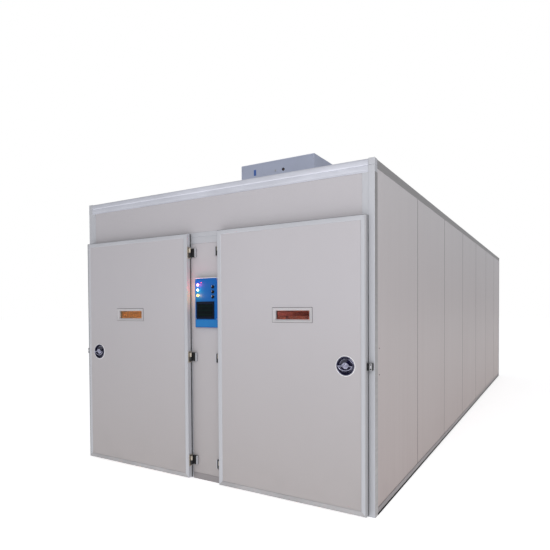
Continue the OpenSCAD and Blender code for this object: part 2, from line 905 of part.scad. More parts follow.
base_channel();
side_wall_panels();
rear_wall_panels();
roof_panels();
front_panels();
corner_posts();
roof_edge_profiles();
door_frames();
hinge_pillar_leaves();
latch_keepers();
control_box();
display_bezel();
display_screen();
indicator_lamps();
upper_knob();
middle_knob();
lower_knob();
vent_box();
exhaust_spigot();
vent_damper();
damper_motor();
cable_grommet();
fan_motors();
front_fan_rotor();
rear_fan_rotor();
heater_elements();
cooling_coils();
humidifier_pan();
humidifier_roller();
ceiling_lamps();
door_panel(1);  // right_door_panel
door_profile(1);  // right_door_profile
door_gasket(1);  // right_door_gasket
window_frame(1);  // right_window_frame
window_glass(1);  // right_window_glass
latch_rose(1);  // right_latch_rose
latch_handle(1);  // right_latch_handle
latch_bolt(1);  // right_latch_bolt
door_hinges(1);  // right_door_hinges
door_panel(-1);  // left_door_panel
door_profile(-1);  // left_door_profile
door_gasket(-1);  // left_door_gasket
window_frame(-1);  // left_window_frame
window_glass(-1);  // left_window_glass
latch_rose(-1);  // left_latch_rose
latch_handle(-1);  // left_latch_handle
latch_bolt(-1);  // left_latch_bolt
door_hinges(-1);  // left_door_hinges
trolley_frame();
trolley_front_wheels();
trolley_rear_wheels();
turning_link();
egg_cradle(1);  // egg_cradle_1
egg_cradle(2);  // egg_cradle_2
egg_cradle(3);  // egg_cradle_3
egg_cradle(4);  // egg_cradle_4
egg_cradle(5);  // egg_cradle_5
egg_cradle(6);  // egg_cradle_6
egg_cradle(7);  // egg_cradle_7
egg_cradle(8);  // egg_cradle_8
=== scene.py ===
"""Looks of a walk-in egg incubator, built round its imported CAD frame. Metres, +Z up, doors face -Y."""

import math

import bmesh
import bpy
from mathutils import Matrix, Vector


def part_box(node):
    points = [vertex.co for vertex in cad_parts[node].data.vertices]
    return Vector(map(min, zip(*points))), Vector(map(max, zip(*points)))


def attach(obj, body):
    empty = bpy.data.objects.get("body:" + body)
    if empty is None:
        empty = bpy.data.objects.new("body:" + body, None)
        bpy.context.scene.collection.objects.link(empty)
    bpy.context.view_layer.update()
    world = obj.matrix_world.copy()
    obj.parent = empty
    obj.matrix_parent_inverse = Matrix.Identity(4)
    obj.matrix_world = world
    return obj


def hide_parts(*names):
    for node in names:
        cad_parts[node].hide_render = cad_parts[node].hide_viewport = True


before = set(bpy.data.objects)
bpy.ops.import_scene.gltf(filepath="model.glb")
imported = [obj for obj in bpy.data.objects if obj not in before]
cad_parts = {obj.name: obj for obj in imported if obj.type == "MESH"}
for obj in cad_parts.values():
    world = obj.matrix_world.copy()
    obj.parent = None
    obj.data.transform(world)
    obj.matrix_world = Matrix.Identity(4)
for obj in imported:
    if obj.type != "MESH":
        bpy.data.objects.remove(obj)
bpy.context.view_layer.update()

MM = 0.001
SIDES = (("right", 1), ("left", -1))
KNOBS = ("upper_knob", "middle_knob", "lower_knob")
SMOOTH_BELOW = math.radians(35)


# ---- mesh helpers ----


def piece(name, bm, looks, stands_for=(), body="cabinet"):
    """Turns a bmesh into a shown piece that rides on a CAD body."""
    bm.normal_update()
    mesh = bpy.data.meshes.new(name)
    bm.to_mesh(mesh)
    bm.free()
    mesh.polygons.foreach_set("use_smooth", [True] * len(mesh.polygons))
    mesh.set_sharp_from_angle(angle=SMOOTH_BELOW)
    obj = bpy.data.objects.new(name, mesh)
    bpy.context.collection.objects.link(obj)
    for look in [looks] if isinstance(looks, str) else looks:
        mesh.materials.append(M[look])
    obj.modifiers.new("flat_faces", "WEIGHTED_NORMAL").keep_sharp = True
    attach(obj, body)
    if stands_for:
        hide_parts(*stands_for)


def welded(node):
    """The CAD node's mesh as a bmesh, with the corners of its faces joined up."""
    bm = bmesh.new()
    bm.from_mesh(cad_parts[node].data)
    bmesh.ops.remove_doubles(bm, verts=bm.verts, dist=0.02 * MM)
    return bm


def extent(points):
    """Lowest and highest corner of the box round some points."""
    return tuple(Vector([pick(p[i] for p in points) for i in range(3)]) for pick in (min, max))


def solids(node):
    """Lowest and highest corner of each separate solid of a CAD node."""
    bm = welded(node)
    seen, found = set(), []
    for start in bm.verts:
        if start in seen:
            continue
        seen.add(start)
        queue, island = [start], []
        while queue:
            vert = queue.pop()
            island.append(vert.co.copy())
            for edge in vert.link_edges:
                other = edge.other_vert(vert)
                if other not in seen:
                    seen.add(other)
                    queue.append(other)
        found.append(extent(island))
    bm.free()
    return sorted(found, key=lambda pair: tuple(round(c, 4) for c in pair[0]))


def block(bm, lo, hi, radius, segments=2, mat=0):
    """Adds a block between two opposite corners; its edges are rounded by radius, in millimetres."""
    lo, hi = extent((lo, hi))
    old = set(bm.faces) if mat else None
    verts = bmesh.ops.create_cube(bm, size=1)["verts"]
    for v in verts:
        v.co = Vector([lo[i] + (v.co[i] + 0.5) * (hi[i] - lo[i]) for i in range(3)])
    edges = list({e for v in verts for e in v.link_edges})
    radius = min(radius * MM, 0.45 * min(hi - lo))
    bmesh.ops.bevel(bm, geom=edges, offset=radius, segments=segments, profile=0.5, affect="EDGES")
    paint(bm, old, mat)


def paint(bm, old, mat):
    """Gives every face that isn't in the set old the material slot mat."""
    if mat:
        for face in bm.faces:
            if face not in old:
                face.material_index = mat


def basis(axis):
    """Two directions across an axis, and the axis."""
    axis = Vector(axis).normalized()
    across = Vector((0, 0, 1)) if abs(axis.z) < 0.9 else Vector((1, 0, 0))
    u = axis.cross(across).normalized()
    return u, axis.cross(u), axis


def outward(bm, faces):
    bmesh.ops.recalc_face_normals(bm, faces=list(faces))


def band(bm, low, high):
    """Joins two rings of points with a band of faces."""
    count = len(low)
    for k in range(count):
        n = (k + 1) % count
        bm.faces.new((low[k], low[n], high[n], high[k]))


def lathe(bm, origin, axis, profile, steps=48, mat=0):
    """Adds a turned shape: profile is (radius, height along the axis) in millimetres."""
    old = set(bm.faces) if mat else None
    u, v, w = basis(axis)
    origin = Vector(origin)
    turns = [2 * math.pi * k / steps for k in range(steps)]
    rings = []
    for radius, height in profile:
        centre = origin + w * (height * MM)
        if radius < 1e-4:
            rings.append([bm.verts.new(centre)])
        else:
            rings.append([bm.verts.new(centre + radius * MM * (u * math.cos(a) + v * math.sin(a)))
                          for a in turns])
    for low, high in zip(rings, rings[1:]):
        if len(low) > 1 and len(high) > 1:
            band(bm, low, high)
            continue
        for k in range(steps):
            n = (k + 1) % steps
            if len(high) > 1:
                bm.faces.new((low[0], high[n], high[k]))
            elif len(low) > 1:
                bm.faces.new((low[k], low[n], high[0]))
    paint(bm, old, mat)


def turned(name, origin, axis, profile, look, stands_for=(), steps=48, body="cabinet"):
    """A piece that is one turned shape."""
    bm = bmesh.new()
    lathe(bm, origin, axis, profile, steps)
    outward(bm, bm.faces)
    piece(name, bm, look, stands_for, body=body)


def prism(bm, outline, place, lo, hi):
    """Adds a closed outline pushed from lo to hi: place(a, b, t) is a point. Returns its faces."""
    old = set(bm.faces)
    ends = [[bm.verts.new(place(a, b, t)) for a, b in outline] for t in (lo, hi)]
    band(bm, *ends)
    bm.faces.new(ends[0][::-1])
    bm.faces.new(ends[1])
    made = [face for face in bm.faces if face not in old]
    outward(bm, made)
    return made


def mitred_frame(bm, lo, hi, section, y, ratio=1.0, gap=0.2 * MM, mats=(0, 0, 0, 0)):
    """Adds four mitred members round the rectangle lo-hi in the XZ plane, the bottom one first.

    section is the member's closed outline as (inset, depth behind y) in millimetres.
    """
    everything = set(bm.faces)
    corners = [(lo[0], lo[2], 1, 1), (hi[0], lo[2], -1, 1), (hi[0], hi[2], -1, -1), (lo[0], hi[2], 1, -1)]
    for k in range(4):
        old = set(bm.faces)
        a, b = corners[k], corners[(k + 1) % 4]
        along = Vector((b[0] - a[0], 0, b[1] - a[1])).normalized() * gap
        ends = []
        for (x, z, sx, sz), shift in ((a, along), (b, -along)):
            ends.append([bm.verts.new(shift + Vector((x + sx * u * MM, y + d * MM, z + sz * u * MM * ratio)))
                         for u, d in section])
        band(bm, *ends)
        bm.faces.new(ends[0][::-1])
        bm.faces.new(ends[1])
        paint(bm, old, mats[k])
    outward(bm, [face for face in bm.faces if face not in everything])


def tube(bm, points, radius, steps=10, closed=False):
    """Adds a round bar along a smooth row of points; its radius is in millimetres."""
    points = [Vector(p) for p in points]
    count = len(points)
    turns = [2 * math.pi * k / steps for k in range(steps)]
    rings, side = [], None
    for k, point in enumerate(points):
        before = points[k - 1] if k or closed else point
        after = points[(k + 1) % count] if k < count - 1 or closed else point
        way = (after - before).normalized()
        if side is None:
            side = basis(way)[0]
        side = (side - way * side.dot(way)).normalized()
        other = way.cross(side)
        rings.append([bm.verts.new(point + radius * MM * (side * math.cos(a) + other * math.sin(a)))
                      for a in turns])
    for low, high in zip(rings, rings[1:]):
        band(bm, low, high)
    if closed:
        band(bm, rings[-1], rings[0])
    else:
        bm.faces.new(rings[0][::-1])
        bm.faces.new(rings[-1])


def screw(bm, origin, axis, radius, mat=0):
    """Adds a domed screw head with a sunk middle; its radius is in millimetres."""
    r = radius
    profile = [(0, 0.25), (0.3, 0.25), (0.36, 0.55), (0.7, 0.46), (0.93, 0.28), (1, 0.05), (1, -0.1)]
    lathe(bm, origin, axis, [(r * wide, r * high) for wide, high in profile], steps=14, mat=mat)


def refined(node, name, looks, radius, extra=None, body="cabinet"):
    """Stands for a CAD node: a copy whose sharp edges are rounded by radius, in millimetres."""
    bm = welded(node)
    bmesh.ops.dissolve_limit(bm, angle_limit=math.radians(0.6), verts=bm.verts, edges=bm.edges)
    sharp = [e for e in bm.edges if len(e.link_faces) == 2 and e.calc_face_angle(0) > math.radians(40)]
    bmesh.ops.bevel(bm, geom=sharp, offset=radius * MM, segments=2, profile=0.5, affect="EDGES",
                    clamp_overlap=True)
    if extra:
        extra(bm)
    piece(name, bm, looks, (node,), body=body)


# ---- materials ----


class Shader:
    """A small wrapper that adds nodes to one material."""

    def __init__(self, name):
        self.material = bpy.data.materials.new(name + "_look")
        self.material.use_nodes = True
        self.tree = self.material.node_tree
        self.shader = self.tree.nodes["Principled BSDF"]
        self.coords = self.tree.nodes.new("ShaderNodeTexCoord").outputs["Object"]

    def node(self, kind, **values):
        made = self.tree.nodes.new(kind)
        for key, value in values.items():
            setattr(made, key, value)
        return made

    def link(self, a, b):
        self.tree.links.new(a, b)

    def noise(self, scale, stretch=(1, 1, 1), detail=4.0):
        mapping = self.node("ShaderNodeMapping")
        mapping.inputs["Scale"].default_value = stretch
        self.link(self.coords, mapping.inputs["Vector"])
        made = self.node("ShaderNodeTexNoise")
        made.inputs["Scale"].default_value = scale
        made.inputs["Detail"].default_value = detail
        self.link(mapping.outputs["Vector"], made.inputs["Vector"])
        return made.outputs["Fac"]

    def ranged(self, source, lo, hi, low=0.3, high=0.7):
        made = self.node("ShaderNodeMapRange")
        for key, value in (("From Min", low), ("From Max", high), ("To Min", lo), ("To Max", hi)):
            made.inputs[key].default_value = value
        self.link(source, made.inputs["Value"])
        return made.outputs["Result"]

    def mixed(self, factor, a, b):
        made = self.node("ShaderNodeMix", data_type="RGBA")
        self.link(factor, made.inputs["Factor"])
        for socket, value in ((made.inputs[6], a), (made.inputs[7], b)):
            if isinstance(value, tuple):
                socket.default_value = value + (1,)
            else:
                self.link(value, socket)
        return made.outputs[2]

    def height(self, part="Z"):
        made = self.node("ShaderNodeSeparateXYZ")
        self.link(self.coords, made.inputs["Vector"])
        return made.outputs[part]

    def bump(self, heights, distance, strength=0.5):
        """Stacks one bump node for each height."""
        last = None
        for source in heights:
            made = self.node("ShaderNodeBump")
            made.inputs["Strength"].default_value = strength
            made.inputs["Distance"].default_value = distance
            self.link(source, made.inputs["Height"])
            if last is not None:
                self.link(last, made.inputs["Normal"])
            last = made.outputs["Normal"]
        self.link(last, self.shader.inputs["Normal"])

    def set(self, **values):
        for key, value in values.items():
            self.shader.inputs[key.replace("_", " ")].default_value = value


def shade(colour, factor):
    return tuple(min(1.0, c * factor) for c in colour)


def finish(name, colour, rough=0.45, metal=0.0, vary=0.06, patch=3.0, grain=120.0, dent=0.0004,
           stretch=(1, 1, 1), **more):
    """A material with colour patches, uneven roughness and a fine grain."""
    s = Shader(name)
    patches = s.noise(patch, stretch)
    fine = s.noise(grain, stretch, 2.0)
    tone = s.mixed(s.ranged(patches, 0, 1), shade(colour, 1 - vary), shade(colour, 1 + vary))
    s.link(tone, s.shader.inputs["Base Color"])
    s.link(s.ranged(fine, rough - 0.06, rough + 0.08), s.shader.inputs["Roughness"])
    s.bump([fine], dent)
    s.set(Metallic=metal, **more)
    return s.material


def panel_skin(name, colour, warm, reach=1.5):
    """Coated sheet skin: faint roll lines, slow waviness, a warmer, darker tone towards the floor and darker
    patches near it.
    """
    s = Shader(name)
    cloud = s.noise(0.9, (1, 1, 0.6))
    roll = s.noise(26.0, (1, 1, 0.02), 2.0)
    tone = s.mixed(s.ranged(cloud, 0, 1), shade(colour, 0.975), shade(colour, 1.025))
    low = s.ranged(s.height(), 1, 0, 0.0, reach)
    tone = s.mixed(low, tone, warm)
    low_patches = s.node("ShaderNodeMath", operation="MULTIPLY")
    s.link(s.ranged(s.noise(5.0), 0, 0.35, 0.45, 0.8), low_patches.inputs[0])
    s.link(s.ranged(s.height(), 1, 0, 0.0, 0.35), low_patches.inputs[1])
    tone = s.mixed(low_patches.outputs[0], tone, shade(warm, 0.8))
    s.link(tone, s.shader.inputs["Base Color"])
    s.link(s.ranged(roll, 0.42, 0.48), s.shader.inputs["Roughness"])
    s.bump([roll, cloud], 0.0004, 0.2)
    s.set(Specular_IOR_Level=0.35)
    return s.material


def glowing(name, edge, core, strength, rough=0.2):
    """A lit lens, whiter in patches where the lamp behind it shows through."""
    s = Shader(name)
    tone = s.mixed(s.ranged(s.noise(60.0), 0, 1), edge, core)
    s.link(tone, s.shader.inputs["Base Color"])
    s.link(tone, s.shader.inputs["Emission Color"])
    s.set(Emission_Strength=strength, Roughness=rough)
    s.bump([s.noise(300.0)], 0.0002)
    return s.material


def glass(name, tint, rough=0.0):
    """Thin tinted pane with faint dust."""
    s = Shader(name)
    dust = s.noise(30.0)
    s.link(s.mixed(s.ranged(dust, 0, 1), shade(tint, 0.94), tint), s.shader.inputs["Base Color"])
    s.link(s.ranged(dust, rough, rough + 0.01), s.shader.inputs["Roughness"])
    s.bump([s.noise(4.0)], 0.0003, 0.2)
    s.set(Transmission_Weight=1.0, IOR=1.12)
    return s.material


def screen_material():
    """Dark display glass with a few dim level bars."""
    s = Shader("display_glass")
    bars = s.node("ShaderNodeTexWave", wave_type="BANDS", bands_direction="Z", wave_profile="SAW")
    bars.inputs["Scale"].default_value = 9.0
    s.link(s.coords, bars.inputs["Vector"])
    glow = s.ranged(bars.outputs["Fac"], 0, 1, 0.75, 0.8)
    s.link(s.mixed(s.noise(40.0), (0.002, 0.004, 0.006), (0.004, 0.008, 0.009)),
           s.shader.inputs["Base Color"])
    s.link(s.mixed(glow, (0.0, 0.0, 0.0), (0.004, 0.03, 0.02)), s.shader.inputs["Emission Color"])
    s.set(Emission_Strength=0.16, Roughness=0.25, Specular_IOR_Level=0.05)
    s.bump([s.noise(20.0)], 0.0002, 0.2)
    return s.material


# The numbers of a finish after its colour: roughness, metal, how much its patches differ in colour, how
# close the patches and the grain are, and how deep the grain is. A stretch draws both out along one axis.
M = {
    "panel": panel_skin("panel_skin", (0.457, 0.438, 0.462), (0.405, 0.375, 0.375)),
    "seam": finish("panel_joint", (0.07, 0.066, 0.07), 0.7, 0, 0.1, 8, 120, 0.0003),
    "channel": finish("floor_channel", (0.3, 0.28, 0.287), 0.55, 0.2, 0.08, 2, 60, 0.0003,
                      Specular_IOR_Level=0.25),
    # Black strip at the walls' foot: partly a seal, partly the painted contact shadow on the floor.
    "foot": finish("foot_seal_and_painted_shadow", (0.01, 0.01, 0.011), 0.9, 0, 0.2, 12, 200, 0.0003,
                   Specular_IOR_Level=0),
    # The side walls get their own copy of the panel skin, lighter than the rest and shading to a darker pink
    # towards the floor over nearly their whole height: painted light and shade.
    "panel_side": panel_skin("panel_side", (0.53, 0.505, 0.52), (0.385, 0.318, 0.308), 2.3),
    "alu": finish("aluminium", (0.5, 0.505, 0.54), 0.46, 0.25, 0.06, 2, 60, 0.0002, (1, 1, 0.05)),
    # Darker copy of the aluminium for the right door's free edge: painted shade.
    "alu_edge_shade": finish("aluminium_edge_painted_shade", (0.4, 0.4, 0.415), 0.5, 0.3, 0.08, 2, 60, 0.0002,
                       (1, 1, 0.05)),
    # Much darker copy for the left door's free edge, a painted dark reflection, and for both doors' top
    # lips, a painted shadow line.
    "alu_painted_shadow": finish("aluminium_painted_shadow", (0.13, 0.13, 0.138), 0.55, 0.3, 0.15, 3, 60, 0.0003,
                          (1, 1, 0.05)),
    # Brighter, bluer copy with patches drawn out along X, for the front roof cap: painted highlights.
    "alu_cross": finish("aluminium_painted_highlight", (0.64, 0.65, 0.72), 0.36, 0.45, 0.14, 5, 60, 0.0002,
                        (0.3, 1, 1)),
    "alu_low": finish("aluminium_scuffed", (0.42, 0.41, 0.42), 0.5, 0.4, 0.1, 3, 60, 0.0003),
    # Darker copy for the posts' side faces and the side and rear roof caps: painted shade.
    "alu_side": finish("aluminium_side_painted_shade", (0.33, 0.32, 0.325), 0.42, 0.5, 0.06, 1.5, 60, 0.0002,
                       (1, 0.05, 1)),
    "dark": finish("dark_steel", (0.022, 0.022, 0.024), 0.42, 0.2, 0.2, 40, 300, 0.0002,
                   Specular_IOR_Level=0.3),
    "plate": finish("hinge_plate", (0.52, 0.47, 0.4), 0.38, 0.75, 0.12, 30, 200, 0.0002),
    "blue": finish("blue_enclosure", (0.004, 0.096, 0.35), 0.42, 0, 0.08, 6, 420, 0.0003,
                   Specular_IOR_Level=0.15),
    "blue_light": finish("blue_band", (0.01, 0.16, 0.44), 0.4, 0, 0.08, 6, 420, 0.0003,
                         Specular_IOR_Level=0.25),
    "black": finish("black_plastic", (0.008, 0.008, 0.01), 0.45, 0, 0.15, 20, 500, 0.0002,
                    Specular_IOR_Level=0.2),
    "bezel": finish("display_surround", (0.003, 0.007, 0.02), 0.5, 0, 0.15, 20, 500, 0.0002,
                    Specular_IOR_Level=0.08),
    "white": finish("white_plastic", (0.78, 0.77, 0.78), 0.35, 0, 0.03, 6, 300, 0.0001),
    "window_white": finish("window_frame", (0.46, 0.445, 0.46), 0.45, 0, 0.04, 6, 300, 0.0001),
    "screen": screen_material(),
    "vent": finish("vent_sheet", (0.48, 0.52, 0.655), 0.42, 0.4, 0.1, 2.5, 50, 0.0005),
    "galv": finish("galvanised", (0.5, 0.52, 0.54), 0.42, 0.75, 0.16, 22, 90, 0.0003),
    "gasket": finish("gasket", (0.035, 0.035, 0.037), 0.8, 0, 0.15, 12, 260, 0.0005),
    "enamel": finish("grey_enamel", (0.12, 0.14, 0.16), 0.35, 0.1, 0.08, 8, 240, 0.0003),
    "alloy": finish("fan_alloy", (0.58, 0.6, 0.62), 0.36, 0.85, 0.1, 9, 160, 0.0004),
    "heater": finish("heated_tube", (0.26, 0.22, 0.19), 0.45, 0.8, 0.25, 9, 120, 0.0002),
    "copper": finish("copper_tube", (0.62, 0.32, 0.18), 0.32, 0.9, 0.2, 11, 160, 0.0002),
    "roller": finish("roller_plastic", (0.33, 0.5, 0.66), 0.4, 0, 0.08, 10, 200, 0.0004),
    "cup": finish("latch_cup", (0.006, 0.006, 0.03), 0.2, 0.1, 0.3, 30, 200, 0.0001,
                  Coat_Weight=0.12, Coat_Roughness=0.15),
    "chrome": finish("chrome", (0.36, 0.36, 0.47), 0.2, 1, 0.08, 30, 300, 0.0001),
    "steel": finish("steel", (0.5, 0.5, 0.52), 0.3, 0.9, 0.1, 40, 300, 0.0002),
    "tyre": finish("wheel_rubber", (0.03, 0.03, 0.033), 0.7, 0, 0.2, 18, 260, 0.0005),
    "cradle": finish("cradle_steel", (0.52, 0.5, 0.47), 0.4, 0.75, 0.14, 24, 120, 0.0003),
    "tray": finish("egg_tray", (0.66, 0.42, 0.25), 0.5, 0, 0.08, 14, 200, 0.0004),
    "label": finish("label", (0.05, 0.13, 0.42), 0.35, 0, 0.1, 60, 400, 0.0001),
    "lamp_top": glowing("upper_lens", (0.9, 0.12, 0.35), (1, 0.75, 0.85), 2.6),
    "lamp_mid": glowing("middle_lens", (0.35, 0.9, 0.45), (0.9, 1, 0.85), 2.4),
    "lamp_low": glowing("lower_lens", (1, 0.3, 0.03), (1, 0.6, 0.2), 2.2),
    "lamp_dot": glowing("small_red_lens", (0.9, 0.02, 0.02), (1, 0.1, 0.08), 1.6),
    "tube_light": glowing("warm_tube", (1, 0.36, 0.12), (1, 0.5, 0.2), 98),
    # Each door's pane has its own tint, darker pink on the right and warm yellow on the left, colouring the
    # light seen through it: painted light.
    "pane_right": glass("window_glass_right", (0.72, 0.52, 0.52)),
    "pane_left": glass("window_glass_left", (0.97, 0.82, 0.58)),
}


def box(node):
    """Lowest and highest corner of a CAD node."""
    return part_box(node)


def middle(node):
    lo, hi = box(node)
    return (lo + hi) / 2


def dress(node, look):
    """Gives a CAD node that is shown as it is its better material."""
    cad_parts[node].data.materials[0] = M[look]


# ---- cabinet ----


def cabinet_panels():
    # The side walls use a retoned copy of the skin that paints light and shade on them.
    for node, look, radius in (("side_wall_panels", "panel_side", 4), ("rear_wall_panels", "panel", 4),
                               ("front_panels", "panel", 2)):
        bm = bmesh.new()
        for lo, hi in solids(node):
            block(bm, lo, hi, radius)
        piece(node + "_skins", bm, look, (node,))
    refined("roof_panels", "roof_panel_skins", "panel", 3)
    joint_fillers()


def joint_fillers():
    """A dark bead of sealant over each joint of the walls and the roof, a little proud of the skins."""
    proud, half, round_off = 0.4 * MM, 3.7 * MM, 0.4
    walls = [s for s in solids("side_wall_panels") if s[0].x > 0]
    walls.sort(key=lambda s: s[0].y)
    roof_lo, roof_hi = box("roof_panels")
    bm = bmesh.new()
    for a, b in zip(walls, walls[1:]):
        y = (a[1].y + b[0].y) / 2
        for sign in (1, -1):
            block(bm, (sign * (a[0].x - proud), y - half, a[0].z),
                  (sign * (a[1].x + proud), y + half, a[1].z), round_off, 1)
        block(bm, (roof_lo.x, y - half, roof_lo.z - proud), (roof_hi.x, y + half, roof_hi.z + proud),
              round_off, 1)
    rear = solids("rear_wall_panels")
    for a, b in zip(rear, rear[1:]):
        x = (a[1].x + b[0].x) / 2
        block(bm, (x - half, a[0].y - proud, a[0].z), (x + half, a[1].y + proud, a[1].z), round_off, 1)
    piece("panel_joint_sealant", bm, "seam")


def side_rivets():
    """Two dark rivets in the first panel of each long side, level with the latches."""
    bm = bmesh.new()
    panels_lo, panels_hi = box("side_wall_panels")
    inset, above_latch, spread = 40 * MM, 25 * MM, 90 * MM
    rose_lo, rose_hi = box("right_latch_rose")
    z = (rose_lo.z + rose_hi.z) / 2 + above_latch
    for sign in (1, -1):
        for dz in (spread, -spread):
            screw(bm, (sign * panels_hi.x, panels_lo.y + inset, z + dz), (sign, 0, 0), 4.5)
    piece("side_rivets", bm, "dark")


def corner_posts():
    """Front posts with a broad two-band face, and plain rear posts, all with rounded corners; their side
    faces are a darker copy of the metal, painted shade.
    """
    side_face = box("corner_posts")[1].x
    groove, r = 45 * MM, 4 * MM
    rounding = [(0, r), (0.3 * r, 0.3 * r), (r, 0)]
    bm = bmesh.new()
    for a, b in solids("corner_posts"):
        sign = 1 if a.x > 0 else -1
        width, depth = b.x - a.x, b.y - a.y
        if a.y < 0:
            outline = rounding + [(groove - 2 * MM, 0), (groove - MM, 1.6 * MM), (groove + MM, 1.6 * MM),
                                  (groove + 2 * MM, 0), (width - MM, 0), (width, MM), (width, depth),
                                  (0, depth)]
            start, step = a.y, 1
        else:
            outline = rounding + [(width, 0), (width, depth), (0, depth)]
            start, step = b.y, -1
        outer = b.x if sign > 0 else a.x

        def place(inset, into, z, outer=outer, sign=sign, start=start, step=step):
            return Vector((outer - sign * inset, start + step * into, z))

        prism(bm, outline, place, a.z, b.z)
    # Side faces of the posts get the darker copy of the metal: painted shade.
    for face in bm.faces:
        face.normal_update()
        if abs(face.normal.x) > 0.9 and abs(abs(face.calc_center_median().x) - side_face) < MM:
            face.material_index = 1
    piece("corner_post_profiles", bm, ["alu", "alu_side"], ("corner_posts",))


def roof_edges():
    """Front cap between square corner blocks, and rounded caps along the sides and rear."""
    caps = solids("roof_edge_profiles")
    front = min(caps, key=lambda c: c[1].y)
    rear = max(caps, key=lambda c: c[0].y)
    sides = [c for c in caps if c is not front and c is not rear]
    corner, upper_band = 46 * MM, 47 * MM
    front_cap(front, corner, upper_band)
    corner_blocks(front, corner, upper_band)
    side_caps(sides, rear)


def front_cap(cap, corner, upper_band):
    """Two-band cap with a groove between its bands and a rounded top edge, in a brighter, bluer copy of the
    metal with streaky painted highlights.
    """
    lo, hi = cap
    top, depth = (hi.z - lo.z) / MM, (hi.y - lo.y) / MM
    split = top - upper_band / MM
    outline = [(0.6, 0), (0, 1), (0, 8), (1.6, 11), (0.4, 16), (0, 28), (0.8, split - 4), (3.5, split - 1),
               (3.5, split + 1), (0.9, split + 4), (0, split + 12), (0.4, top - 18), (2.5, top - 9),
               (7, top - 3.5), (14, top - 0.6), (20, top), (depth, top), (depth, 0)]
    bm = bmesh.new()
    prism(bm, outline, lambda into, up, x: Vector((x, lo.y + into * MM, lo.z + up * MM)),
          lo.x + corner, hi.x - corner)
    piece("front_roof_cap", bm, "alu_cross", ("roof_edge_profiles",))


def corner_blocks(cap, corner, upper_band):
    """A square block at each end of the front cap, in two parts."""
    lo, hi = cap
    split = hi.z - upper_band
    inset, seam = 0.5 * MM, 0.4 * MM
    bm = bmesh.new()
    for sign in (1, -1):
        outer, inner = sign * hi.x, sign * (hi.x - corner)
        block(bm, (outer, lo.y, split), (inner, hi.y, hi.z), 3)
        block(bm, (outer - sign * inset, lo.y, lo.z), (inner + sign * inset, hi.y, split - seam), 1.5)
    piece("roof_corner_blocks", bm, "alu")


def side_caps(sides, rear):
    """Angle-shaped caps along the sides and a full one across the rear, with rounded top edges, in a darker
    copy of the metal: painted shade.
    """
    turn, skin = 12 * MM, 3 * MM
    rounding = [(0, -turn), (0.13 * turn, -0.5 * turn), (0.5 * turn, -0.13 * turn), (turn, 0)]
    bm = bmesh.new()
    for a, b in sides:
        sign = 1 if a.x > 0 else -1
        outer = b.x if sign > 0 else a.x
        inner = b.x - a.x
        outline = [(0, a.z)] + [(u, b.z + v) for u, v in rounding]
        outline += [(inner, b.z), (inner, b.z - skin), (skin, b.z - skin), (skin, a.z)]
        prism(bm, outline, lambda u, z, y, o=outer, s=sign: Vector((o - s * u, y, z)), a.y, b.y)
    a, b = rear
    outline = [(0, a.z)] + [(u, b.z + v) for u, v in rounding] + [(b.y - a.y, b.z), (b.y - a.y, a.z)]
    prism(bm, outline, lambda u, z, x: Vector((x, b.y - u, z)), a.x, b.x)
    piece("side_roof_caps", bm, "alu_side")


def door_surround():
    """Header bar with a drawn line along it, and two rounded jambs."""
    bm = bmesh.new()
    for a, b in solids("door_frames"):
        if b.x - a.x > 1:
            top, depth = (b.z - a.z) / MM, (b.y - a.y) / MM
            line = 54
            outline = [(0, 2), (0.6, 0.6), (2, 0), (depth, 0), (depth, top), (1, top), (0, top - 1),
                       (0, line + 3), (2, line + 1), (2, line - 1), (0, line - 3)]
            prism(bm, outline, lambda into, up, x, a=a: Vector((x, a.y + into * MM, a.z + up * MM)),
                  a.x, b.x)
        else:
            block(bm, a, b, 2)
    piece("door_surround", bm, "alu", ("door_frames",))


def floor_channel():
    """The channel the walls stand in, with a black strip along its foot that is partly a seal and partly a
    painted contact shadow.
    """
    def flatten(bm):
        for vert in bm.verts:
            vert.co.z = max(vert.co.z, 0)

    refined("base_channel", "floor_channel", "channel", 0.8, extra=flatten)
    lo, hi = box("base_channel")
    start = box("side_wall_panels")[0].y
    # The black strip stands partly for a seal and partly for the painted contact shadow at the foot.
    proud, thick, height = 0.6 * MM, 3.6 * MM, 15 * MM
    bm = bmesh.new()
    for sign in (1, -1):
        block(bm, (sign * (hi.x + proud), start, 0), (sign * (hi.x + proud - thick), hi.y, height), 0.5)
    block(bm, (lo.x, hi.y + proud - thick, 0), (hi.x, hi.y + proud, height), 0.5)
    piece("floor_seal_and_shadow_strip", bm, "foot")


# ---- doors ----


def door(name, sign):
    door_trim(name, sign)
    bolt_exit(name, sign)
    door_seal(name)
    door_window(name)
    dress(name + "_door_panel", "panel")
    door_latch(name)
    door_hinges(name, sign)


def free_edge(name, sign):
    """Where a door's free edge is along X."""
    lo, hi = box(name + "_door_profile")
    return hi.x if sign > 0 else lo.x


def door_trim(name, sign):
    """Mitred edge profile, with scuffed metal below, painted shade in darker metal on the free edge and a
    painted shadow line along the top.
    """
    lo, hi = box(name + "_door_profile")
    free = free_edge(name, sign)
    shaded_edge_width, shadow_line_width = 8.4 * MM, 3.2 * MM
    section = [(0, 3), (0.9, 0.9), (3, 0), (6, 0), (6.6, 0.8), (7.6, 0.8), (8.2, 0), (31, 0), (33.5, 0.6),
               (35, 1.8), (35.6, 2.6), (35.9, 49.8), (0, 49.8)]
    bm = bmesh.new()
    mitred_frame(bm, lo, hi, section, lo.y, mats=(1, 0, 0, 0))
    # Faces by the free edge get painted shade, faces along the top lip a painted shadow line.
    for face in bm.faces:
        middle = face.calc_center_median()
        if face.material_index == 0 and abs(middle.x - free) < shaded_edge_width:
            face.material_index = 2
        elif face.material_index == 0 and abs(middle.z - hi.z) < shadow_line_width:
            face.material_index = 3
    # The right door's free edge gets the lighter painted shade, the left door's a painted dark reflection.
    edge = "alu_edge_shade" if sign > 0 else "alu_painted_shadow"
    piece(name + "_door_trim", bm, ["alu", "alu_low", edge, "alu_painted_shadow"],
          (name + "_door_profile",), body=name + "_door")


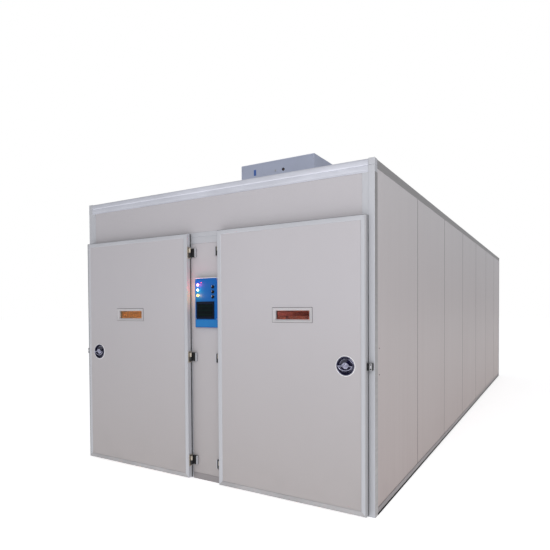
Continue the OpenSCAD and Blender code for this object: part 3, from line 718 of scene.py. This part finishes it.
def bolt_exit(name, sign):
    """Dark plate with a bright ring, two screws and a black disc, where the bolt leaves the door's edge."""
    bolt_lo, bolt_hi = box(name + "_latch_bolt")
    rose_lo, rose_hi = box(name + "_latch_rose")
    centre = Vector((free_edge(name, sign), (bolt_lo.y + bolt_hi.y) / 2, (rose_lo.z + rose_hi.z) / 2))
    ahead, behind, half_h = 19 * MM, 13 * MM, 26 * MM
    bm = bmesh.new()
    block(bm, centre + Vector((-sign * MM, -ahead, -half_h)),
          centre + Vector((sign * 1.2 * MM, behind, half_h)), 0.8)
    lathe(bm, centre, (sign, 0, 0), [(6.2, 1.2), (7, 2.2), (9, 2.4), (11, 1.6), (11.4, 1)], steps=32, mat=1)
    for dz in (20 * MM, -20 * MM):
        screw(bm, centre + Vector((sign * 1.1 * MM, -3 * MM, dz)), (sign, 0, 0), 4, mat=1)
    piece(name + "_bolt_escutcheon", bm, ["dark", "steel"], body=name + "_door")

    bm = bmesh.new()
    lathe(bm, centre, (sign, 0, 0), [(0, 1.5), (6.4, 1.5), (6.5, 1.1)], steps=32)
    piece(name + "_bolt_exit", bm, "black", body=name + "_door")


def door_seal(name):
    """Round-edged gasket strips, and the lip that holds them behind the edge profile."""
    lo, hi = box(name + "_door_profile")
    bm = bmesh.new()
    for a, b in solids(name + "_door_gasket"):
        block(bm, a, b, 3, 3)
    lip = [(-0.5, -11), (-0.5, -1), (0.5, 0.4), (3, 0.4), (3, -11)]
    mitred_frame(bm, lo, hi, lip, hi.y)
    piece(name + "_door_seal", bm, "gasket", (name + "_door_gasket",), body=name + "_door")


def door_window(name):
    """Moulded frame with a dark ring round it, a painted shadow for the gap round the frame, and two panes.
    """
    body = name + "_door"
    lo, hi = box(name + "_window_frame")
    ring = [(0, 4), (0, 1.6), (0.6, 0.5), (2, 0), (9, 0), (10.5, 0.6), (13, 3.2), (22, 6.5), (24, 9),
            (24.5, 20.8), (18.4, 21.8), (18.4, 49.5), (10.2, 49.5), (10.2, 4)]
    # The dark bead round the frame is a painted shadow for the shadow gap there.
    bead = [(0, 4), (0, 2.4), (1, 1.6), (3, 1.6), (3, 4)]
    reach = Vector((2.4 * MM, 0, 2.4 * MM))
    bm = bmesh.new()
    mitred_frame(bm, lo, hi, ring, lo.y, ratio=0.86, gap=0.1 * MM)
    mitred_frame(bm, lo - reach, hi + reach, bead, lo.y, mats=(1, 1, 1, 1))
    piece(name + "_window_surround", bm, ["window_white", "seam"],
          (name + "_window_frame",), body=body)

    bm = bmesh.new()
    for a, b in solids(name + "_window_glass"):
        block(bm, a, b, 0.8)
    # Each door's panes take that door's tint, which paints the colour of the light seen through them.
    piece(name + "_window_panes", bm, "pane_" + name, (name + "_window_glass",), body=body)


def circle(centre, radius, depth, steps=72):
    """Points round the Y axis through centre; the radius and the depth behind it are in millimetres."""
    turns = [2 * math.pi * k / steps for k in range(steps)]
    return [centre + MM * Vector((radius * math.cos(a), depth, radius * math.sin(a))) for a in turns]


def door_latch(name):
    """Deep dark cup with two bright rings and a pale collar, the lever in it, and the bolt."""
    body = name + "_door"
    lo, hi = box(name + "_latch_rose")
    centre = Vector(((lo.x + hi.x) / 2, lo.y, (lo.z + hi.z) / 2))
    rim_r, floor_d = 66, 24
    scale = (hi.x - lo.x) / 2 / (rim_r * MM)
    cup = [(8.3, floor_d), (30, floor_d), (44, floor_d - 1.5), (52, floor_d - 6), (55.5, floor_d - 14),
           (56.5, 4), (57.5, 1.2), (59, 0.2), (61, 0), (62.5, 0.6), (64, 0.3), (65.4, 1.2), (65.9, 2.6),
           (rim_r, 4.2)]
    turned(name + "_latch_cup", centre, (0, 1, 0), [(r * scale, d) for r, d in cup], "cup",
           (name + "_latch_rose",), steps=72, body=body)
    rings = bmesh.new()
    tube(rings, circle(centre, 63.2, 0.6), 1, 8, closed=True)
    tube(rings, circle(centre, 47, 17), 1.6, 8, closed=True)
    piece(name + "_latch_rim", rings, "chrome", body=body)
    collar = [(65.6, 4.3), (66, 2.6), (68, 2), (70, 2.6), (71, 4.1)]
    turned(name + "_latch_collar", centre, (0, 1, 0), collar, "white", steps=72, body=body)
    latch_lever(name, centre)
    dress(name + "_latch_bolt", "steel")


def latch_lever(name, centre):
    """Bevelled plate with a cross bar, a curved grip below it, a domed cap and the hub on its spindle."""
    lo, hi = box(name + "_latch_handle")
    front = Vector((centre.x, lo.y, centre.z))

    def place(u, v, depth):
        return front + MM * Vector((u, depth, v))

    plate = [(-46, -1), (-44, -4), (-14, -5), (-6, -9), (6, -9), (10, -5), (44, -4), (46, -1), (38, 3),
             (24, 8), (14, 19), (8, 24), (-8, 24), (-14, 19), (-24, 8), (-38, 3)]
    bm = bmesh.new()
    made = prism(bm, plate, place, 5, 11.5)
    edges = list({e for f in made for e in f.edges if abs(f.normal.y) > 0.9})
    bmesh.ops.bevel(bm, geom=edges, offset=1.6 * MM, segments=3, profile=0.5, affect="EDGES")
    tube(bm, [place(u, 0, 4) for u in (-51, -47, -30, 0, 30, 47, 51)], 4, 16)
    half_turn = [math.pi * k / 28 for k in range(29)]
    grip = [place(-48 * math.cos(a), -31 * math.sin(a), 4.5 + 1.5 * math.sin(a)) for a in half_turn]
    tube(bm, grip, 3.3, 14)
    lathe(bm, place(0, 8, 1.5), (0, 1, 0), [(0, 0), (5, 0.3), (8, 1.4), (9.5, 3.4), (9.8, 7)], steps=36)
    spindle = (hi.y - lo.y) / MM - 22
    lathe(bm, place(0, 0, 11), (0, 1, 0), [(0, 0), (20, 0.2), (22, 2), (22, 6), (9, 9), (7.9, 12),
                                           (7.9, spindle), (0, spindle)], steps=36)
    piece(name + "_latch_lever", bm, "chrome",
          (name + "_latch_handle",), body=name + "_handle")


def door_hinges(name, sign):
    """Hinge leaves with two dark screws each, on the door's hinge edge."""
    edge_lo, edge_hi = box(name + "_door_profile")
    face = (edge_lo.x if sign > 0 else edge_hi.x) - sign * 3 * MM

    def screws(bm):
        for a, b in solids(name + "_door_hinges"):
            for dz in (36 * MM, -36 * MM):
                screw(bm, (face, a.y + 20 * MM, (a.z + b.z) / 2 + dz), (-sign, 0, 0), 7, mat=1)

    refined(name + "_door_hinges", name + "_hinge_plates", ["plate", "dark"], 0.8,
            extra=screws, body=name + "_door")


def pillar_hinges():
    """Dark brackets with two screws each and a bare metal strip along the inner edge."""
    face = box("corner_posts")[0].y - 16 * MM
    strip_w, strip_d, lip = 7 * MM, 15.8 * MM, 0.6 * MM

    def feet(bm):
        for a, b in solids("hinge_pillar_leaves"):
            sign = 1 if a.x > 0 else -1
            inner = a.x if a.x > 0 else b.x
            block(bm, (inner - sign * lip, face - MM, a.z - lip),
                  (inner + sign * strip_w, face + strip_d, b.z + lip), 0.9, mat=1)
            for dz in (20 * MM, -20 * MM):
                screw(bm, (inner + sign * 17 * MM, face, (a.z + b.z) / 2 + dz), (0, -1, 0), 5)

    refined("hinge_pillar_leaves", "pillar_hinge_brackets", ["dark", "alu"], 1.4,
            extra=feet)


def keepers():
    """Dark keepers, each with a bright face plate and two screws."""
    bm = bmesh.new()
    for a, b in solids("latch_keepers"):
        block(bm, a, b, 1.2)
    plate_w, proud = 15 * MM, 1.2 * MM
    for sign in (1, -1):
        lo, hi = extent([corner for s in solids("latch_keepers") for corner in s if corner.x * sign > 0])
        outer = hi.x if sign > 0 else lo.x
        block(bm, (outer, lo.y - proud, lo.z), (outer - sign * plate_w, lo.y + 0.4 * MM, hi.z), 0.5, mat=1)
        for dz in (15 * MM, -15 * MM):
            screw(bm, (outer - sign * plate_w / 2, lo.y - MM, (lo.z + hi.z) / 2 + dz), (0, -1, 0), 5.2)
    piece("keeper_plates", bm, ["dark", "steel"], ("latch_keepers",))


# ---- control box ----


def control_panel():
    lo, hi = box("control_box")
    enclosure(lo, hi)
    display()
    lamps(lo.y)
    knobs()


def enclosure(lo, hi):
    """Blue box with a lighter band low on its front, four screws, a pale top flange and the knobs' dots."""
    front = lo.y
    bm = bmesh.new()
    block(bm, lo, hi, 5, 4)
    band_foot, band_head, band_side = 7 * MM, 62 * MM, 6 * MM
    block(bm, (lo.x + band_side, front - 0.8 * MM, lo.z + band_foot),
          (hi.x - band_side, front + MM, lo.z + band_head), 0.7, mat=1)
    for x in (lo.x + 11 * MM, hi.x - 11 * MM):
        for z in (lo.z + 70 * MM, hi.z - 13 * MM):
            screw(bm, (x, front - 0.2 * MM, z), (0, -1, 0), 3.6, mat=2)
    flange, inset = 4 * MM, 2 * MM
    block(bm, (lo.x + inset, front - 1.2 * MM, hi.z - flange), (hi.x - inset, hi.y - inset, hi.z), 1.2,
          mat=3)
    for node in KNOBS:
        knob_dots(bm, middle(node), front)
    piece("control_enclosure", bm, ["blue", "blue_light", "steel", "white"],
          ("control_box",))


def knob_dots(bm, centre, front):
    """Three pale dots round a knob, at the middle and the two ends of its turn."""
    reach, half = 17 * MM, 0.9 * MM
    for angle in (-45, 0, 45):
        turn = math.radians(angle)
        x, z = centre.x + reach * math.sin(turn), centre.z + reach * math.cos(turn)
        block(bm, (x - half, front - 0.4 * MM, z - half), (x + half, front + 0.2 * MM, z + half), 0.2, 1,
              mat=3)


def display():
    """Dark surround with an inlaid line round its face, and the pane in it."""
    lo, hi = box("display_bezel")
    screen_lo, screen_hi = box("display_screen")
    inset, depth = (screen_lo.x - lo.x) / MM, (hi.y - lo.y) / MM
    ratio = (screen_lo.z - lo.z) / (screen_lo.x - lo.x)
    section = [(0, 2), (0.8, 0.5), (2.2, 0), (9, 0), (9.6, 0.6), (10.6, 0.6), (11.2, 0), (inset - 2, 0.3),
               (inset - 0.2, 2.2), (inset - 0.2, 0.5 * depth), (0.5, 0.4 * depth)]
    inlay = [(9.6, 0.35), (9.6, 0.8), (10.6, 0.8), (10.6, 0.35)]
    bm = bmesh.new()
    mitred_frame(bm, lo, hi, section, lo.y, ratio=ratio, gap=0)
    mitred_frame(bm, lo, hi, inlay, lo.y, ratio=ratio, gap=0)
    piece("display_surround", bm, "bezel", ("display_bezel",))
    bm = bmesh.new()
    block(bm, screen_lo, screen_hi, 0.6)
    piece("display_pane", bm, "screen", ("display_screen",))


def lamps(front):
    """Domed lit lenses in bright bezels, and a small red dot beside the upper one."""
    places = sorted(solids("indicator_lamps"), key=lambda pair: pair[0].z)
    dome = [(0, 10.4), (4, 10), (7, 8.6), (9.2, 6.2), (10.2, 3), (10.3, 0)]
    ring = [(10.4, 0), (10.5, 2.6), (11.2, 3.4), (12.6, 3.2), (13.6, 1.6), (13.8, 0)]
    dot = [(0, 3), (2.6, 2.2), (4, 0.4), (4, -0.2)]
    bezels = bmesh.new()
    names = (("lower", "lamp_low"), ("middle", "lamp_mid"), ("upper", "lamp_top"))
    for (a, b), (name, look) in zip(places, names):
        centre = Vector(((a.x + b.x) / 2, front, (a.z + b.z) / 2))
        stands_for = ("indicator_lamps",) if name == "upper" else ()
        turned(name + "_lamp_lens", centre, (0, -1, 0), dome, look, stands_for, steps=40)
        lathe(bezels, centre, (0, -1, 0), ring, steps=40)
    beside = centre + Vector((34 * MM, 0, 16 * MM))
    turned("alarm_dot_lens", beside, (0, -1, 0), dot, "lamp_dot", steps=20)
    outward(bezels, bezels.faces)
    piece("lamp_bezels", bezels, "steel")


def knobs():
    """Turned knobs with a tapered ridge across the front and a pale mark on its upper end; the lowest knob's
    mark is twice as wide, the extra width a painted highlight for a glint.
    """
    skirt = [(0, 8), (9, 8), (10.4, 9.2), (11.2, 12), (12.6, 12.9), (13, 14), (13, 17), (12, 17.5),
             (3, 17.5), (3, 30), (0, 30)]
    ridge = [(-11, -3.2), (-9, -3.5), (9, -3.1), (11, -2.2), (11.4, 0), (11, 2.2), (9, 3.1), (-9, 3.5),
             (-11, 3.2)]
    for node in KNOBS:
        centre = middle(node)
        centre.y = box(node)[0].y
        bm = bmesh.new()
        lathe(bm, centre, (0, 1, 0), skirt, steps=36)
        outward(bm, bm.faces)
        prism(bm, ridge, lambda up, across, depth: centre + MM * Vector((across, depth, up)), 0, 10)
        # The lowest knob's wider mark is partly a painted highlight standing in for a glint.
        mark = (1.6 if node == "lower_knob" else 0.8) * MM
        block(bm, centre + Vector((-mark, -0.3 * MM, MM)), centre + Vector((mark, MM, 10.5 * MM)), 0.25,
              mat=1)
        piece(node + "_pointer", bm, ["black", "white"], (node,), body=node)


# ---- roof vent box ----


def vent():
    lo, hi = box("vent_box")
    wide = [s for s in solids("vent_box") if s[1].z - s[0].z > 0.3 and s[1].x - s[0].x > 0.3]
    sheet_lo, sheet_hi = min(wide, key=lambda s: s[0].y)
    face, foot = sheet_lo.y, sheet_lo.z
    left, right = sheet_lo.x, sheet_hi.x

    def details(bm):
        for x in (left, right):
            inward = 1 if x < 0 else -1
            block(bm, (x, face - 1.4 * MM, foot + 3 * MM),
                  (x + inward * 16 * MM, face + 0.2 * MM, hi.z - 2 * MM), 0.6)
            for k in range(5):
                z = foot + 45 * MM + k * 102 * MM
                screw(bm, (x + inward * 8 * MM, face - 1.2 * MM, z), (0, -1, 0), 4, mat=1)
        block(bm, (left, face - 1.6 * MM, hi.z - 18 * MM), (right, face + 0.2 * MM, hi.z - MM), 0.6)
        for k in range(7):
            x = left + (right - left) * (k + 0.5) / 7
            screw(bm, (x, lo.y + 12 * MM, lo.z + 2 * MM), (0, 0, 1), 5, mat=1)

    refined("vent_box", "vent_housing", ["vent", "steel"], 0.7, extra=details)
    vent_fittings(face)
    refined("exhaust_spigot", "exhaust_duct_stub", "galv", 0.5)
    refined("vent_damper", "damper_blade", "galv", 0.6, body="vent_damper")
    refined("damper_motor", "damper_drive", "white", 2.5)


def vent_fittings(face):
    """Blanking plug, plain label plate and the cable's rubber ring, in the vent box's front sheet."""
    grommet = middle("cable_grommet")
    plug = [(0, 5), (7, 5), (9, 3.6), (9.6, -0.2)]
    turned("vent_blanking_plug", (grommet.x - 90 * MM, face, grommet.z), (0, -1, 0), plug, "galv",
           steps=28)
    bm = bmesh.new()
    block(bm, (grommet.x - 349 * MM, face - 1.2 * MM, grommet.z - 18 * MM),
          (grommet.x - 321 * MM, face + 0.2 * MM, grommet.z + 42 * MM), 0.5)
    piece("vent_label_plate", bm, "label")
    ring = [(8.1, 9.5), (8.1, 1.4), (9, 0.4), (11.5, 0), (14, 0.5), (14.9, 1.8), (14.9, 4), (12, 4.1),
            (12, 5.9), (14.9, 6), (14.9, 9), (13, 9.9), (9, 9.9), (8.1, 9.5)]
    turned("cable_grommet_ring", (grommet.x, box("cable_grommet")[0].y, grommet.z), (0, 1, 0), ring,
           "black", ("cable_grommet",), steps=32)


# ---- inside: air, heat and water ----


def fans():
    for node in ("front_fan_rotor", "rear_fan_rotor"):
        lo, hi = box(node)
        centre = middle(node)
        centre.z = lo.z + 47 * MM
        radius = (hi.x - lo.x) / 2
        shaft = (hi.z - centre.z) / MM
        hub = [(0, -28), (38, -28), (46, -24), (48, -18), (48, 20), (44, 26), (30, 28), (8, 30), (8, shaft),
               (0, shaft)]
        bm = bmesh.new()
        lathe(bm, centre, (0, 0, 1), hub, steps=40)
        outward(bm, bm.faces)
        for blade in range(6):
            fan_blade(bm, Matrix.Rotation(blade * math.pi / 3, 4, "Z"), centre, radius)
        piece(node + "_wheel", bm, "alloy", (node,), body=node)
    refined("fan_motors", "fan_motor_units", "enamel", 3)


def blade_row(t, radius, chords):
    """Points across a fan blade at t, which is 0 at the hub and 1 at the tip."""
    reach = 44 * MM + (radius - 46 * MM) * t
    pitch = math.radians(36 - 14 * t)
    chord = (92 - 20 * abs(t - 0.55)) * MM
    row = []
    for j in range(chords):
        s = j / (chords - 1) - 0.5
        along, rise = s * chord, 6 * MM * (1 - 4 * s * s)
        y = along * math.cos(pitch) - rise * math.sin(pitch)
        z = along * math.sin(pitch) + rise * math.cos(pitch)
        x = math.sqrt(max(reach * reach - y * y, 0)) if t > 0.9 else reach
        row.append(Vector((x, y, z)))
    return row


def fan_blade(bm, turn, centre, radius):
    """Adds one twisted, cambered blade from the hub to the tip."""
    stations, chords, half_thick = 9, 9, 1.2 * MM
    rows = [blade_row(i / (stations - 1), radius, chords) for i in range(stations)]
    skins = []
    for offset in (half_thick, -half_thick):
        lift = Vector((0, 0, offset))
        skins.append([[bm.verts.new(centre + (turn @ (p + lift))) for p in row] for row in rows])
    top, bottom = skins
    for i in range(stations - 1):
        for j in range(chords - 1):
            bm.faces.new((top[i][j], top[i + 1][j], top[i + 1][j + 1], top[i][j + 1]))
            bm.faces.new((bottom[i][j], bottom[i][j + 1], bottom[i + 1][j + 1], bottom[i + 1][j]))
    rim = [(i, 0) for i in range(stations)] + [(stations - 1, j) for j in range(1, chords)]
    rim += [(i, chords - 1) for i in range(stations - 2, -1, -1)]
    rim += [(0, j) for j in range(chords - 2, 0, -1)]
    for (i, j), (m, n) in zip(rim, rim[1:] + rim[:1]):
        bm.faces.new((top[i][j], bottom[i][j], bottom[m][n], top[m][n]))


def heat_and_water():
    dress("heater_elements", "heater")
    coil_fins()
    dress("cooling_coils", "copper")
    refined("humidifier_pan", "water_pan", "galv", 0.6)
    refined("humidifier_roller", "wetting_roller", "roller", 1.2,
            body="humidifier_roller")
    ceiling_lamps()


def coil_fins():
    """Thin upright fins across each cooling pipe."""
    count, thick = 40, 0.8 * MM
    first, unfinned = 60 * MM, 200 * MM
    bm = bmesh.new()
    for a, b in solids("cooling_coils"):
        for k in range(count):
            y = a.y + first + k * (b.y - a.y - unfinned) / (count - 1)
            block(bm, (a.x + 2 * MM, y, a.z - 8 * MM), (b.x - 2 * MM, y + thick, a.z + 26 * MM), 0.2, 1)
    piece("coil_fins", bm, "alloy")


def ceiling_lamps():
    """Warm tubes under white cases, with a holder at each end."""
    tubes, cases = bmesh.new(), bmesh.new()
    end, holder, half_w = 22 * MM, 10 * MM, 16 * MM
    for a, b in solids("ceiling_lamps"):
        x, z = (a.x + b.x) / 2, b.z - 48 * MM
        tube(tubes, [(x, a.y + end, z), (x, (a.y + b.y) / 2, z), (x, b.y - end, z)], 13.5, 20)
        block(cases, (a.x, a.y, b.z - 30 * MM), b, 5, 3)
        for y in (a.y + holder, b.y - 2 * holder):
            block(cases, (x - half_w, y, a.z), (x + half_w, y + holder, b.z - 28 * MM), 3)
    piece("lamp_tubes", tubes, "tube_light", ("ceiling_lamps",))
    piece("lamp_cases", cases, "white")


# ---- egg trolley ----


def trolley():
    parts = solids("trolley_frame")
    tubes = [s for s in parts if min(s[1] - s[0]) > 25 * MM]
    plates = [s for s in parts if min(s[1] - s[0]) <= 25 * MM]
    bm = bmesh.new()
    for group, radius in ((tubes, 3), (plates, 1.2)):
        for a, b in group:
            block(bm, a, b, radius)
    lo, hi = box("trolley_frame")
    for x, out in ((lo.x, -1), (hi.x, 1)):
        for y in (lo.y + 15 * MM, hi.y - 15 * MM):
            for z in (lo.z + 70 * MM, hi.z - 15 * MM):
                screw(bm, (x, y, z), (out, 0, 0), 7, mat=1)
    piece("trolley_tubes", bm, ["galv", "steel"], ("trolley_frame",), body="trolley")
    for node in ("trolley_front_wheels", "trolley_rear_wheels"):
        wheel_set(node)
    refined("turning_link", "turning_link_bar", "steel", 0.7, body="turning_link")
    for k in range(1, 9):
        cradle(k)


def wheel_set(node):
    """Steel axle with chamfered ends, and two wheels with a steel disc inside a rounded tread."""
    lo, hi = box(node)
    y, z = (lo.y + hi.y) / 2, (lo.z + hi.z) / 2
    length, r = (hi.x - lo.x) / MM, (hi.z - lo.z) / 2 / MM
    axle = [(0, 0), (9, 0), (10, 1), (10, length - 1), (9, length), (0, length)]
    bm = bmesh.new()
    lathe(bm, (lo.x, y, z), (1, 0, 0), axle, steps=28, mat=1)
    for a, b in solids(node):
        if b.z - a.z < 0.1:
            continue
        half = [(10, 2), (22, 2), (24, 6), (48, 8), (52, 4), (54, 2), (r - 8, 1), (r - 2.5, 3), (r, 9)]
        width = (b.x - a.x) / MM
        profile = half + [(radius, width - height) for radius, height in reversed(half)]
        lathe(bm, (a.x, y, z), (1, 0, 0), profile, steps=48)
        for face in bm.faces:
            c = face.calc_center_median()
            if a.x <= c.x <= b.x and math.hypot(c.y - y, c.z - z) < 50 * MM:
                face.material_index = 1
    outward(bm, bm.faces)
    piece(node + "_rubber", bm, ["tyre", "steel"], (node,), body=node)


def cradle(k):
    """Angle-steel rim with its pivots, and moulded egg trays on its floor."""
    node, body = f"egg_cradle_{k}", f"cradle_{k}"
    parts = solids(node)
    refined(node, node + "_rim", "cradle", 0.9, body=body)
    rails = [s for s in parts if s[1].y - s[0].y > 0.4]
    ends = [s for s in parts if s[1].x - s[0].x > 0.4]
    x_lo, x_hi = min(s[1].x for s in rails), max(s[0].x for s in rails)
    y_lo, y_hi = min(s[1].y for s in ends), max(s[0].y for s in ends)
    z = middle(node).z
    rows, columns, gap = 5, 3, 4 * MM
    pitch_x, pitch_y = (x_hi - x_lo - gap) / columns, (y_hi - y_lo - gap) / rows
    bm = bmesh.new()
    for i in range(columns):
        for j in range(rows):
            lo = (x_lo + gap + i * pitch_x, y_lo + gap + j * pitch_y, z - 6 * MM)
            hi = (x_lo + (i + 1) * pitch_x, y_lo + (j + 1) * pitch_y, z + 11 * MM)
            tray(bm, lo, hi)
    piece(node + "_trays", bm, "tray", body=body)


def tray(bm, lo, hi, seats=4):
    """Adds a shallow tray with a raised rim and a row of round egg seats."""
    (x0, y0, z0), (x1, y1, z1) = lo, hi
    rim = 5 * MM
    outline = [(0, z0), (0, z1), (rim, z1), (rim, z0 + 4 * MM), (2 * rim, z0 + 3 * MM), (2 * rim, z0)]
    corners = [(x0, y0, 1, 1), (x1, y0, -1, 1), (x1, y1, -1, -1), (x0, y1, 1, -1)]
    rings = [[bm.verts.new((x + sx * u, y + sy * u, z)) for u, z in outline] for x, y, sx, sy in corners]
    for k in range(4):
        band(bm, rings[(k + 1) % 4], rings[k])
    r = min((x1 - x0) / seats, y1 - y0) / 2 / MM - 7
    seat = [(r * 0.55, -2), (r * 0.8, 2), (r, 6), (r + 2, 6), (r + 3, 0)]
    for s in range(seats):
        x = x0 + (x1 - x0) * (s + 0.5) / seats
        lathe(bm, (x, (y0 + y1) / 2, z0 + 3 * MM), (0, 0, 1), seat, steps=16)


# ---- stage ----


def light(name, kind, place, energy, size, colour=(1, 1, 1)):
    """A light in the scene; size is the width of an area light, or the radius of a point light."""
    data = bpy.data.lights.new(name, kind)
    data.energy = energy
    data.color = colour
    if kind == "AREA":
        data.size = size
    else:
        data.shadow_soft_size = size
    lamp = bpy.data.objects.new(name, data)
    lamp.location = place
    bpy.context.collection.objects.link(lamp)
    return lamp


def stage():
    """White floor, white surroundings with soft light from all round, and one large light in front."""
    mesh = bpy.data.meshes.new("floor")
    reach, below = 60.0, 0.5 * MM
    mesh.from_pydata([(-reach, -reach, 0), (reach, -reach, 0), (reach, reach, 0), (-reach, reach, 0)], [],
                     [(0, 1, 2, 3)])
    floor = bpy.data.objects.new("floor", mesh)
    bpy.context.collection.objects.link(floor)
    floor.location.z = -below
    mesh.materials.append(finish("floor", (0.9, 0.9, 0.9), 0.7, 0.0, 0.01, 0.5, 20.0, 0.0001,
                                 Emission_Color=(1, 1, 1, 1), Emission_Strength=0.62))
    surroundings()
    place, target = Vector((2.6, -8.2, 3.2)), Vector((0.6, -3.9, 1.2))
    key = light("key", "AREA", place, energy=100, size=3.0)
    key.rotation_euler = (target - key.location).to_track_quat("-Z", "Y").to_euler()


def surroundings():
    """A world that the camera sees as white, and that lights the scene less strongly."""
    world = bpy.data.worlds.new("studio")
    bpy.context.scene.world = world
    world.use_nodes = True
    nodes, links = world.node_tree.nodes, world.node_tree.links
    nodes.clear()
    out = nodes.new("ShaderNodeOutputWorld")
    mix = nodes.new("ShaderNodeMixShader")
    lighting, seen = nodes.new("ShaderNodeBackground"), nodes.new("ShaderNodeBackground")
    lighting.inputs["Color"].default_value = (0.97, 0.98, 1.0, 1)
    lighting.inputs["Strength"].default_value = 0.45
    seen.inputs["Color"].default_value = (1, 1, 1, 1)
    path = nodes.new("ShaderNodeLightPath")
    links.new(path.outputs["Is Camera Ray"], mix.inputs["Fac"])
    links.new(lighting.outputs[0], mix.inputs[1])
    links.new(seen.outputs[0], mix.inputs[2])
    links.new(mix.outputs[0], out.inputs["Surface"])


def lamp_spill():
    """Coloured light that the three lit lenses throw on the box and on the door's edge beside them."""
    places = sorted(solids("indicator_lamps"), key=lambda pair: pair[0].z)
    colours = ((1.0, 0.45, 0.08), (0.1, 1.0, 0.6), (1.0, 0.05, 0.22))
    energies = (0.22, 0.07, 0.24)
    ahead, soft = 22 * MM, 8 * MM
    for k, (a, b) in enumerate(places):
        place = ((a.x + b.x) / 2, a.y - ahead, (a.z + b.z) / 2)
        light(f"lamp_spill_{k}", "POINT", place, energies[k], soft, colours[k])


def trolley_light():
    """A small pink light between the right door and the trolley, so the trays show in the window."""
    ahead, height, soft = 65 * MM, 1.45, 20 * MM
    place = (box("door_frames")[1].x * 0.27, box("trolley_frame")[0].y - ahead, height)
    light("trolley_light", "POINT", place, 2.2, soft, (1.0, 0.5, 0.45))


def camera():
    """A fairly wide lens at eye height in front of the right door, turned left along the cabinet."""
    place = (2.4445, -7.0174, 1.4088)
    yaw, pitch, roll = 0.5423, -0.0207, -0.0063
    forward = Vector((-math.sin(yaw) * math.cos(pitch), math.cos(yaw) * math.cos(pitch), math.sin(pitch)))
    right = Vector((math.cos(yaw), math.sin(yaw), 0))
    up = right.cross(forward)
    x_axis = right * math.cos(roll) + up * math.sin(roll)
    y_axis = up * math.cos(roll) - right * math.sin(roll)
    data = bpy.data.cameras.new("camera")
    data.sensor_width = 36
    data.lens = 31.79
    data.shift_x = 0.0168
    data.shift_y = 0.0784
    data.clip_end = 200
    obj = bpy.data.objects.new("camera", data)
    matrix = Matrix((x_axis, y_axis, -forward)).transposed().to_4x4()
    matrix.translation = place
    obj.matrix_world = matrix
    bpy.context.collection.objects.link(obj)
    bpy.context.scene.camera = obj
    bpy.context.scene.view_settings.view_transform = "Standard"


cabinet_panels()
side_rivets()
corner_posts()
roof_edges()
door_surround()
floor_channel()
for side_name, side_sign in SIDES:
    door(side_name, side_sign)
pillar_hinges()
keepers()
control_panel()
vent()
fans()
heat_and_water()
trolley()
stage()
lamp_spill()
trolley_light()
camera()
